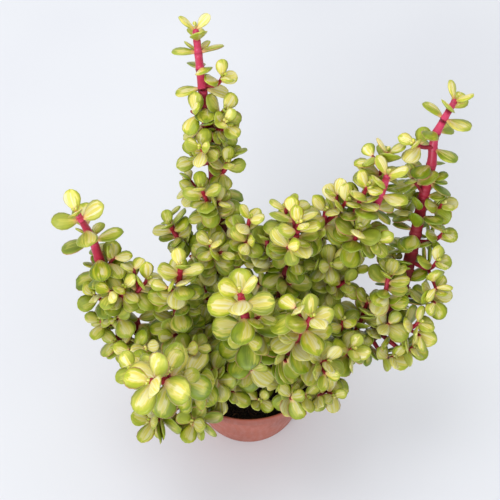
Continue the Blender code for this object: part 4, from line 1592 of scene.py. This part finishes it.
@dataclass
class Foliage:
    """The fine leaves of one plant.

    Args:
        plant: The plant's name.
        blades: Its leaves.
        shades: How deep in the crown each leaf stands, from 0 to 1, which sets its painted shade.
    """

    plant: str
    blades: list
    shades: list
    sides: int = 8
    rings: int = 8
    widest: float = 0.58
    root_width: float = 0.17
    width_span: tuple = (1.0, 1.16)
    plump: float = 1.28
    top_share: float = 0.40
    keel_share: float = 0.62
    cup_span: tuple = (-0.03, 0.06)
    groove_span: tuple = (0.0, 0.1)
    skew_span: tuple = (-0.06, 0.06)
    blush_span: tuple = (-1.8, 0.8)
    offset_span: tuple = (-0.45, 0.45)
    young_cream: float = 0.25
    # Less cream on leaves deep in the crown: partly the greener skin of shaded leaves, partly painted shade
    shaded_cream: float = 0.12
    chances: tuple = (
        (Variegation.BANDED, 0.48),
        (Variegation.STREAKED, 0.26),
        (Variegation.GREEN, 0.13),
        (Variegation.CREAM, 0.13),
    )

    def outline(self, station: float, point: float) -> float:
        """The leaf's width at a share of its length, as a share of the greatest width.

        Args:
            station: The share of the length.
            point: How pointed the tip is, from 0 to 1.

        Returns:
            The share of the width.
        """
        if station < self.widest:
            rest = (self.widest - station) / self.widest
            return self.root_width + (1 - self.root_width) * (1 - rest**1.7)
        rest = (station - self.widest) / (1 - self.widest)
        return max(0.0, 1 - rest ** (2.5 - 0.8 * point)) ** (0.5 + 0.2 * point)

    def depth(self, station: float) -> float:
        """The leaf's thickness at a station, a share of its length, as a share of the greatest one."""
        taper = max(0.0, station - 0.6) / 0.4
        return (0.78 + 0.22 * math.sin(math.pi * min(1.0, station * 1.1))) * (1 - 0.5 * taper**2.5)

    def station(self, ring: int) -> float:
        """How far along the leaf a ring stands, as a share of the length."""
        return 0.5 - 0.5 * math.cos(math.pi * (ring - 0.4) / (self.rings - 0.4))

    def pattern(self) -> tuple:
        """The sphere that every leaf is drawn out of.

        Returns:
            The sphere's bmesh, and a ring and a turn for each of its vertices.
        """
        sphere = bmesh.new()
        for name in LEAF_LAYERS:
            sphere.verts.layers.float_vector.new(name)
        bmesh.ops.create_uvsphere(sphere, u_segments=self.sides, v_segments=self.rings, radius=1)
        places = []
        for vertex in sphere.verts:
            ring = round(math.acos(max(-1.0, min(1.0, -vertex.co.z))) / math.pi * self.rings)
            turn = round(math.atan2(vertex.co.y, vertex.co.x) / (2 * math.pi) * self.sides) % self.sides
            places.append((ring, turn))
        return sphere, places

    def across(self, turn: int) -> float:
        """How far out a turn of the pattern stands, as a signed share of the half width.

        Args:
            turn: The turn's number, counted from the leaf's edge.

        Returns:
            The share, 0 at the middle.
        """
        if turn % (self.sides // 2) == self.sides // 4:
            return 0.0
        cosine = math.cos(2 * math.pi * turn / self.sides)
        return math.copysign(abs(cosine) ** 1.25, cosine)

    def shape_leaf(
        self,
        shape: bmesh.types.BMesh,
        places: list,
        blade: Blade,
        shade: float,
        draw: random.Random,
    ) -> None:
        """Draws a small sphere out to one leaf, with its place and traits on its vertices.

        Args:
            shape: The leaf's own sphere.
            places: The ring and the turn of each of its vertices.
            blade: The leaf.
            shade: How deep in the crown it stands, which sets its painted shade.
            draw: The leaf's own draws.
        """
        kinds, shares = zip(*self.chances)
        bands, streaks = draw.choices(kinds, shares)[0].value
        # Leaves deep in the crown lose cream: partly the greener skin of shaded leaves, partly painted shade
        band = draw.uniform(*bands) + self.young_cream * blade.youth - self.shaded_cream * shade
        traits = (band, draw.uniform(*streaks), draw.random())
        blush = max(0.0, draw.uniform(*self.blush_span))
        # Its second part is the leaf's depth in the crown, which sets the painted shade
        offset_shade_tone = (draw.uniform(*self.offset_span), shade, draw.random())
        cup = draw.uniform(*self.cup_span) * blade.length
        groove = draw.uniform(*self.groove_span)
        point = draw.random() ** 2
        half_width = blade.half_width * draw.uniform(*self.width_span)
        thickness = blade.thickness * self.plump
        skew = draw.uniform(*self.skew_span) * blade.length
        place, trait, growth, temper = (shape.verts.layers.float_vector[name] for name in LEAF_LAYERS)
        for vertex, (ring, turn) in zip(shape.verts, places):
            at_tip = ring == self.rings
            if ring == 0 or at_tip:
                reach = blade.length if at_tip else -blade.sunk
                drop = blade.arch * blade.length if at_tip else 0
                vertex.co = (skew if at_tip else 0, -0.1 * thickness - drop, reach)
                vertex[place] = (0, 1 if at_tip else 0, 0)
                vertex[growth] = (blade.youth, blush, 1 if at_tip else 0)
            else:
                station = self.station(ring)
                across = self.across(turn)
                at_edge = turn % (self.sides // 2) == 0
                above = 0 if at_edge else (1 if turn < self.sides // 2 else -1)
                body = thickness * self.depth(station) * (1 - abs(across) ** 2.4)
                share = self.top_share if above > 0 else -self.keel_share
                rise = 0.04 * thickness + body * share * abs(above)
                if above > 0 and across == 0:
                    rise -= groove * thickness
                sag = blade.arch * blade.length * station**2 - cup * across**2 * station
                side = across * self.outline(station, point) * half_width + skew * station**2
                vertex.co = (side, rise - sag, blade.length * station)
                vertex[place] = (across, station, above)
                vertex[growth] = (blade.youth, blush, 1 if at_edge else 0)
            vertex[trait] = traits
            vertex[temper] = offset_shade_tone
        shape.transform(blade.matrix())

    def build(self, finish: bpy.types.Material) -> bpy.types.Object:
        """All of the plant's leaves in one piece.

        Args:
            finish: The leaf's material.

        Returns:
            The piece.
        """
        sphere, places = self.pattern()
        whole = bmesh.new()
        for name in LEAF_LAYERS:
            whole.verts.layers.float_vector.new(name)
        mesh = bpy.data.meshes.new("leaf")
        for number, (blade, shade) in enumerate(zip(self.blades, self.shades)):
            draw = random.Random(f"{SEED} look {self.plant} {number}")
            leaf = sphere.copy()
            self.shape_leaf(leaf, places, blade, shade, draw)
            leaf.to_mesh(mesh)
            leaf.free()
            whole.from_mesh(mesh)
        sphere.free()
        bpy.data.meshes.remove(mesh)
        return piece_of(f"leaves_{self.plant}", whole, finish, self.plant)


@dataclass
class Bark:
    """The stem, branches and twigs of one plant, swollen a little at each node.

    Args:
        plant: The plant's name.
        axes: Its centre lines, the rooted stem first.
        step: How far apart the rings of vertices are.
        least_step: The least distance between them.
        line_step: How far apart the points of the smoothed centre line are.
        ring_width: Half of the width of the swelling at a node.
        swelling: How much stouter the wood is there.
        unevenness: The span of each ring's girth.
        ages_over: The length over which the wood turns old.
        thick: The radius past which a stem has many sides.
        many_sides: The number of sides of a thick stem.
        few_sides: The number of sides of a thin one.
        tip_share: The radius at the very tip, as a share.
        stouter: How much stouter old wood is than its centre line says.
        stout_over: The length from the tip over which it grows so.
        slim_root: The length of a rooted stem's foot, which keeps its girth to fit its hole.
        root_flare: The length over which it widens past that.
    """

    plant: str
    axes: list
    step: float = 3.2 * MM
    least_step: float = 0.55 * MM
    line_step: float = 2.5 * MM
    ring_width: float = 1.0 * MM
    swelling: float = 0.13
    unevenness: tuple = (0.97, 1.02)
    ages_over: float = 140 * MM
    thick: float = 2.0 * MM
    many_sides: int = 12
    few_sides: int = 8
    tip_share: float = 0.55
    stouter: float = 0.17
    stout_over: float = 55 * MM
    slim_root: float = 30 * MM
    root_flare: float = 15 * MM

    def stations(self, axis: Axis) -> list:
        """Where the tube has rings of vertices, which stand closer together at the nodes.

        Args:
            axis: The centre line.

        Returns:
            Each ring's distance from the base.
        """
        count = max(2, round(axis.length / self.step))
        places = [axis.length * index / count for index in range(count + 1)]
        for distance, _ in axis.nodes:
            places += [distance - self.ring_width, distance, distance + self.ring_width]
        kept = [0.0]
        for place in sorted(places):
            if kept[-1] + self.least_step < place < axis.length - self.least_step:
                kept.append(place)
        return [*kept, axis.length]

    def swell(self, axis: Axis, distance: float) -> float:
        """How near a place is to a node of the stem, from 0 to 1."""
        gaps = [abs(distance - node) / self.ring_width for node, _ in axis.nodes]
        return math.exp(-min(gaps, default=9) ** 2)

    def girth(self, axis: Axis, distance: float) -> float:
        """How much stouter the wood is than its centre line says.

        Args:
            axis: The centre line.
            distance: The length from its base.

        Returns:
            A factor, which is 1 in the soil and at the tip.
        """
        grown = min(1.0, (axis.length - distance) / self.stout_over)
        flared = max(0.0, min(1.0, (distance - self.slim_root) / self.root_flare))
        return 1 + self.stouter * grown * (1.0 if axis.parent else flared)

    def shape_axis(self, axis: Axis, number: int) -> bmesh.types.BMesh:
        """A closed tube along one axis, with its age and rings on its vertices.

        Args:
            axis: The centre line.
            number: The axis's place in the plant, for its own draws.

        Returns:
            The tube's bmesh.
        """
        draw = random.Random(f"{SEED} bark {self.plant} {number}")
        fine = Growth.smooth_line(axis.points, self.line_step)
        line = Axis(fine, [0.0] * len(fine), axis.plant, axis.shoot)
        shape = bmesh.new()
        layer = shape.verts.layers.float_vector.new("bark")
        sides = self.many_sides if axis.radii[0] > self.thick else self.few_sides
        made = bmesh.ops.create_circle(shape, cap_ends=True, segments=sides, radius=1)
        ring_verts = made["verts"]
        cap = shape.faces[:][0]
        frame_now = Matrix.Identity(4)
        turn = None
        way = None
        stretch = line.length / axis.length
        tint = draw.random()
        for distance in self.stations(axis):
            point, direction, _ = line.at(distance * stretch)
            if turn is None:
                turn = direction.to_track_quat("Z", "X")
            else:
                turn = way.rotation_difference(direction) @ turn
                grown = bmesh.ops.extrude_face_region(shape, geom=[cap])["geom"]
                ring_verts = [item for item in grown if isinstance(item, bmesh.types.BMVert)]
                cap = next(item for item in grown if isinstance(item, bmesh.types.BMFace))
            way = direction
            near = self.swell(axis, distance)
            radius = axis.at(distance)[2] * (1 + self.swelling * near) * draw.uniform(*self.unevenness)
            radius *= self.girth(axis, distance)
            if distance == axis.length:
                radius *= self.tip_share
            frame_next = Matrix.Translation(point) @ turn.to_matrix().to_4x4() @ Matrix.Scale(radius, 4)
            bmesh.ops.transform(shape, matrix=frame_next @ frame_now.inverted(), verts=ring_verts)
            frame_now = frame_next
            age = min(1.0, axis.age + (axis.length - distance) / self.ages_over)
            for vertex in ring_verts:
                vertex[layer] = (age, near, tint)
        bmesh.ops.recalc_face_normals(shape, faces=shape.faces)
        return shape

    def build(self, finish: bpy.types.Material) -> bpy.types.Object:
        """All of the plant's wood in one piece.

        Args:
            finish: The wood's material.

        Returns:
            The piece.
        """
        whole = bmesh.new()
        whole.verts.layers.float_vector.new("bark")
        for number, axis in enumerate(self.axes):
            shape = self.shape_axis(axis, number)
            mesh = bpy.data.meshes.new("wood")
            shape.to_mesh(mesh)
            shape.free()
            whole.from_mesh(mesh)
            bpy.data.meshes.remove(mesh)
        return piece_of(f"bark_{self.plant}", whole, finish, self.plant)


def cut_holes(piece: bpy.types.Object, holes: list, low: float, high: float, sides: int) -> None:
    """Cuts upright round holes in a piece by a Boolean difference, which is then applied.

    Args:
        piece: The piece to cut.
        holes: The centre and radius of each hole.
        low: The level that the cuts start from.
        high: The level that they end at.
        sides: The number of sides of each hole.
    """
    shape = bmesh.new()
    for centre, radius in holes:
        bmesh.ops.create_cone(
            shape,
            cap_ends=True,
            segments=sides,
            radius1=radius,
            radius2=radius,
            depth=high - low,
            matrix=Matrix.Translation((centre[0], centre[1], (low + high) / 2)),
        )
    mesh = bpy.data.meshes.new("cutters")
    shape.to_mesh(mesh)
    shape.free()
    cutter = bpy.data.objects.new("cutters", mesh)
    bpy.context.scene.collection.objects.link(cutter)
    cut = piece.modifiers.new("holes", "BOOLEAN")
    cut.operation = "DIFFERENCE"
    cut.object = cutter
    bpy.context.view_layer.update()
    graph = bpy.context.evaluated_depsgraph_get()
    finished = bpy.data.meshes.new_from_object(piece.evaluated_get(graph))
    piece.modifiers.clear()
    piece.data = finished
    bpy.data.objects.remove(cutter)


def turned(profile: list, steps: int) -> bmesh.types.BMesh:
    """A closed shape of revolution.

    Args:
        profile: Pairs of radius and height, from the axis round to the axis again.
        steps: The number of sides.

    Returns:
        A bmesh with its faces pointing out.
    """
    shape = bmesh.new()
    corners = [shape.verts.new((radius, 0, height)) for radius, height in profile]
    edges = [shape.edges.new(pair) for pair in zip(corners, corners[1:])]
    bmesh.ops.spin(
        shape,
        geom=corners + edges,
        cent=(0, 0, 0),
        axis=(0, 0, 1),
        angle=2 * math.pi,
        steps=steps,
        use_merge=True,
    )
    bmesh.ops.remove_doubles(shape, verts=shape.verts, dist=0.01 * MM)
    bmesh.ops.dissolve_degenerate(shape, edges=shape.edges, dist=0.005 * MM)
    bmesh.ops.recalc_face_normals(shape, faces=shape.faces)
    return shape


@dataclass
class NurseryPot:
    """A thin round pot with a rolled lip, a collar, a stacking ledge inside and drain holes."""

    height: float = 80 * MM
    rim_radius: float = 52.5 * MM
    foot_radius: float = 36 * MM
    wall: float = 1.4 * MM
    collar_height: float = 9 * MM
    collar_step: float = 1.5 * MM
    floor: float = 2 * MM
    foot_round: float = 1.2 * MM
    corner_round: float = 1.6 * MM
    body_rings: int = 24
    ripple: float = 0.05 * MM
    ripple_span: float = 1.6 * MM
    inner_rings: int = 6
    sides: int = 128
    drain_count: int = 6
    drain_radius: float = 4 * MM
    drain_ring: float = 20 * MM
    drain_sides: int = 24
    crease: float = 50

    def radius_at(self, height: float) -> float:
        """The outer radius of the tapered body at a height, below the collar."""
        top = self.rim_radius - self.collar_step
        return self.foot_radius + (top - self.foot_radius) * height / self.height

    def arc(self, centre: tuple, radius: float, start: float, end: float, count: int) -> list:
        """Points on an arc in the profile's plane.

        Args:
            centre: The arc's centre.
            radius: Its radius.
            start: The angle that it starts from, in degrees.
            end: The angle that it ends at.
            count: The number of steps.

        Returns:
            The points.
        """
        points = []
        for index in range(count + 1):
            angle = math.radians(start + (end - start) * index / count)
            points.append((centre[0] + radius * math.cos(angle), centre[1] + radius * math.sin(angle)))
        return points

    def profile(self) -> list:
        """The outline from the underside's centre, up the outside, over the lip and down to the floor.

        Returns:
            Pairs of radius and height.
        """
        under_collar = self.height - self.collar_height
        lip = 0.5 * self.wall
        foot = self.foot_radius - self.foot_round
        above_floor = 2 * self.floor
        corner = self.radius_at(above_floor) - self.wall - self.corner_round
        outer_levels = np.linspace(3 * MM, under_collar - 1.4 * MM, self.body_rings)
        inner_levels = np.linspace(under_collar - 1 * MM, above_floor, self.inner_rings)
        body = [
            (self.radius_at(level) + self.ripple * math.sin(level / self.ripple_span), level)
            for level in outer_levels
        ]
        inner = [(self.radius_at(level) - self.wall, level) for level in inner_levels]
        return [
            (0, 0),
            (foot, 0),
            *self.arc((foot, self.foot_round), self.foot_round, -80, -8, 4),
            *body,
            (self.radius_at(under_collar) + 0.02 * MM, under_collar - 0.8 * MM),
            (self.rim_radius - 0.45 * self.collar_step, under_collar - 0.25 * MM),
            (self.rim_radius - 0.25 * self.collar_step, under_collar + 0.3 * MM),
            (self.rim_radius - 0.05 * self.collar_step, self.height - 2.4 * MM),
            *self.arc((self.rim_radius - lip, self.height - lip), lip, -10, 190, 10),
            (self.rim_radius - 1.35 * self.wall, under_collar + 2.2 * MM),
            (self.rim_radius - 1.6 * self.wall, under_collar + 1 * MM),
            *inner,
            *self.arc((corner, self.floor + self.corner_round), self.corner_round, -15, -85, 4),
            (0, self.floor),
        ]

    def build(self, finish: PlasticFinish) -> bpy.types.Object:
        """The pot as one piece.

        Args:
            finish: The pot's finish.

        Returns:
            The piece.
        """
        shape = turned(self.profile(), self.sides)
        piece = piece_of("nursery_pot", shape, finish.material(self.height), "pot")
        holes = []
        for index in range(self.drain_count):
            turn = 2 * math.pi * index / self.drain_count
            centre = (self.drain_ring * math.cos(turn), self.drain_ring * math.sin(turn))
            holes.append((centre, self.drain_radius))
        cut_holes(piece, holes, -self.floor, self.floor + 3 * MM, self.drain_sides)
        piece.data.shade_smooth()
        piece.data.set_sharp_from_angle(angle=math.radians(self.crease))
        return piece


class Grain(Enum):
    """What a grain of the soil is: the number that its finish reads."""

    CRUMB = 0.0
    FIBRE = 0.7
    PERLITE = 1.0


@dataclass
class Soil:
    """Potting soil with a crumbled surface, open round each stem.

    Args:
        pot: The pot that it fills.
        mains: The rooted stems.
    """

    pot: NurseryPot
    mains: list
    top: float = SOIL_TOP
    gap: float = 0.3 * MM
    relief: float = 0.8 * MM
    sides: int = 72
    rings: int = 22
    hole_sides: int = 16
    crease: float = 55
    crumbs: int = 900
    rim_margin: float = 2.2 * MM
    perlite_from: float = 0.965
    perlite_span: tuple = (0.6, 1.2)
    fibres_from: float = 0.87
    fibre_span: tuple = (1.2, 2.2)
    fibre_stretch: tuple = (1, 0.22, 0.2)
    crumb_span: tuple = (0.5, 1.5)
    width_span: tuple = (0.7, 1)
    height_span: tuple = (0.5, 0.8)
    tilt: float = 0.4
    roughness: float = 0.16
    stem_height: float = 14 * MM
    stem_gap: float = 0.4 * MM

    def edge(self) -> float:
        """The soil's radius at its surface."""
        kink = self.pot.height - self.pot.collar_height - 0.8 * MM
        return self.pot.radius_at(min(self.top, kink)) - self.pot.wall - self.gap

    def level(self, x: float, y: float) -> float:
        """The height of the soil's surface at a place."""
        heave = noise.noise(Vector((x, y, 0)) * 90) + 0.5 * noise.noise(Vector((x, y, 3 * MM)) * 330)
        return self.top + self.relief * heave / 1.5

    def body(self) -> bmesh.types.BMesh:
        """The soil's block, turned to the pot's inside, with a heaved surface.

        Returns:
            The block's bmesh.
        """
        low = self.pot.floor + self.gap
        foot = self.pot.radius_at(low) - self.pot.wall - self.gap - 1.2 * MM
        edge = self.edge()
        surface = [(edge * (1 - index / self.rings), self.top) for index in range(self.rings + 1)]
        shape = turned([(0, low), (foot, low), (foot + 1.3 * MM, low + 1.5 * MM), *surface], self.sides)
        for vertex in shape.verts:
            if vertex.co.z > self.top - 0.1 * MM:
                vertex.co.z = self.level(vertex.co.x, vertex.co.y)
        return shape

    def clear_of_stems(self, spot: Vector, reach: float) -> bool:
        """Whether a crumb stands clear of every stem.

        Args:
            spot: The crumb's place.
            reach: Its radius.

        Returns:
            True if it does.
        """
        for axis in self.mains:
            for point, radius in zip(axis.points[1:3], axis.radii[1:3]):
                across = math.hypot(spot.x - point.x, spot.y - point.y)
                beside = abs(point.z - spot.z) < self.stem_height
                if beside and across < radius + reach + self.stem_gap:
                    return False
        return True

    def strew(self, shape: bmesh.types.BMesh, layer: bmesh.types.BMLayerItem) -> None:
        """Scatters crumbs, fibres and perlite over the surface.

        Args:
            shape: The bmesh that takes them.
            layer: Its vertices' layer for the kind and shade of each grain.
        """
        draw = random.Random(f"{SEED} crumbs")
        for _ in range(self.crumbs):
            out = (self.edge() - self.rim_margin) * math.sqrt(draw.random())
            angle = draw.uniform(0, 2 * math.pi)
            pick = draw.random()
            perlite = pick > self.perlite_from
            grain = Grain.PERLITE if perlite else Grain.CRUMB
            size = draw.uniform(*self.perlite_span) if perlite else draw.uniform(*self.crumb_span) ** 1.5
            stretch = (1, draw.uniform(*self.width_span), draw.uniform(*self.height_span))
            if self.fibres_from < pick < self.perlite_from:
                grain, size, stretch = Grain.FIBRE, draw.uniform(*self.fibre_span), self.fibre_stretch
            reach = size * MM
            spot = Vector((out * math.cos(angle), out * math.sin(angle), 0))
            spot.z = self.level(spot.x, spot.y) + 0.3 * reach * stretch[2]
            turn = Matrix.Rotation(draw.uniform(0, 2 * math.pi), 4, "Z")
            turn @= Matrix.Rotation(draw.uniform(-self.tilt, self.tilt), 4, "Y")
            if not self.clear_of_stems(spot, reach):
                continue
            size_of = Matrix.Diagonal((*(reach * share for share in stretch), 1))
            place = Matrix.Translation(spot) @ turn @ size_of
            made = bmesh.ops.create_icosphere(shape, subdivisions=1, radius=1, matrix=place)
            shade = draw.random()
            for vertex in made["verts"]:
                nudge = Vector(draw.uniform(-self.roughness, self.roughness) * reach for _ in range(3))
                vertex.co += nudge * stretch[1]
                vertex[layer] = (grain.value, shade, 0)

    def build(self, finish: PeatFinish) -> bpy.types.Object:
        """The soil as one piece.

        Args:
            finish: The soil's finish.

        Returns:
            The piece.
        """
        shape = self.body()
        shape.verts.layers.float_vector.new("grain")
        piece = piece_of("potting_soil", shape, finish.material(), "soil")
        flat_share = math.cos(math.pi / self.hole_sides)
        holes = [(axis.points[0], (axis.radii[0] + self.gap) / flat_share) for axis in self.mains]
        bottom = self.top - ROOT_DEPTH - self.gap
        cut_holes(piece, holes, bottom, self.top + 5 * MM, self.hole_sides)
        grains = bmesh.new()
        grains.from_mesh(piece.data)
        self.strew(grains, grains.verts.layers.float_vector["grain"])
        grains.to_mesh(piece.data)
        grains.free()
        piece.data.shade_smooth()
        piece.data.set_sharp_from_angle(angle=math.radians(self.crease))
        return piece


@dataclass(frozen=True)
class Lamp:
    """A square soft lamp.

    Args:
        name: The lamp's name.
        place: Where it hangs.
        size: The length of its side.
        power: Its power in watts.
    """

    name: str
    place: tuple
    size: float
    power: float


@dataclass
class Studio:
    """A pale floor, soft light from all round, and the camera above the plant's front."""

    eye: tuple = (0.0011, -0.24524, 0.55476)
    aim: tuple = (0.0011, 0.0, 0.1898)
    view_angle: float = 34
    sensor: float = 36
    floor_size: float = 3.0
    sky: tuple = (0.97, 0.98, 1.0, 1)
    sky_strength: float = 0.79
    lamps: tuple = (
        Lamp("key", (-0.3, 0.3, 1.5), 0.7, 5.2),
        Lamp("fill", (-1.9, -3.3, 2.1), 2.6, 101),
    )

    def add_camera(self) -> None:
        """The camera at the photograph's angle."""
        data = bpy.data.cameras.new("camera")
        data.sensor_width = self.sensor
        data.lens = self.sensor / 2 / math.tan(math.radians(self.view_angle / 2))
        camera = bpy.data.objects.new("camera", data)
        camera.location = self.eye
        way = Vector(self.aim) - Vector(self.eye)
        camera.rotation_euler = way.to_track_quat("-Z", "Y").to_euler()
        bpy.context.scene.collection.objects.link(camera)
        bpy.context.scene.camera = camera

    def add_lamp(self, lamp: Lamp) -> None:
        """Hangs a lamp, which looks at the plant.

        Args:
            lamp: The lamp.
        """
        data = bpy.data.lights.new(lamp.name, "AREA")
        data.size = lamp.size
        data.energy = lamp.power
        hung = bpy.data.objects.new(lamp.name, data)
        hung.location = lamp.place
        hung.rotation_euler = (Vector(self.aim) - Vector(lamp.place)).to_track_quat("-Z", "Y").to_euler()
        bpy.context.scene.collection.objects.link(hung)

    def build(self, finish: PaperFinish) -> None:
        """Sets the floor, the sky, the lamps and the camera.

        Args:
            finish: The floor's finish.
        """
        shape = bmesh.new()
        bmesh.ops.create_grid(shape, x_segments=12, y_segments=12, size=self.floor_size)
        mesh = bpy.data.meshes.new("floor")
        shape.to_mesh(mesh)
        shape.free()
        mesh.materials.append(finish.material())
        floor = bpy.data.objects.new("floor", mesh)
        bpy.context.scene.collection.objects.link(floor)
        floor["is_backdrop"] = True
        world = bpy.data.worlds.new("soft sky")
        world.use_nodes = True
        sky = world.node_tree.nodes["Background"]
        sky.inputs["Color"].default_value = self.sky
        sky.inputs["Strength"].default_value = self.sky_strength
        bpy.context.scene.world = world
        bpy.context.scene.view_settings.view_transform = "Standard"
        for lamp in self.lamps:
            self.add_lamp(lamp)
        self.add_camera()


def main() -> None:
    """Grows, builds and dresses the plant, its pot and its soil, and sets the studio round them."""
    logging.basicConfig(level=logging.INFO, format="%(message)s")
    box_low, box_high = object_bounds()
    pot = NurseryPot()
    growth = Growth()
    margin = Vector((BOX_MARGIN, BOX_MARGIN, BOX_MARGIN))
    thicket = Thicket(Room(box_low + margin, box_high - margin, pot), growth.clearance)
    growth.grow_solids(thicket)
    log.info("as in the solids: %d leaves on %d stems and twigs", len(thicket.blades), len(thicket.axes))
    growth.fill_gaps(thicket)
    log.info("with fine growth: %d leaves on %d stems and twigs", len(thicket.blades), len(thicket.axes))
    leaf = LeafFinish().material()
    bark = BarkFinish().material()
    grown = list(zip(thicket.blades, thicket.shades()))
    for plant in PLANTS:
        Bark(plant, [axis for axis in thicket.axes if axis.plant == plant]).build(bark)
        blades, shades = zip(*(pair for pair in grown if pair[0].plant == plant))
        Foliage(plant, list(blades), list(shades)).build(leaf)
    pot.build(PlasticFinish())
    Soil(pot, [axis for axis in thicket.axes if axis.parent is None]).build(PeatFinish())
    Studio().build(PaperFinish())
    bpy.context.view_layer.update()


if __name__ == "__main__":
    main()
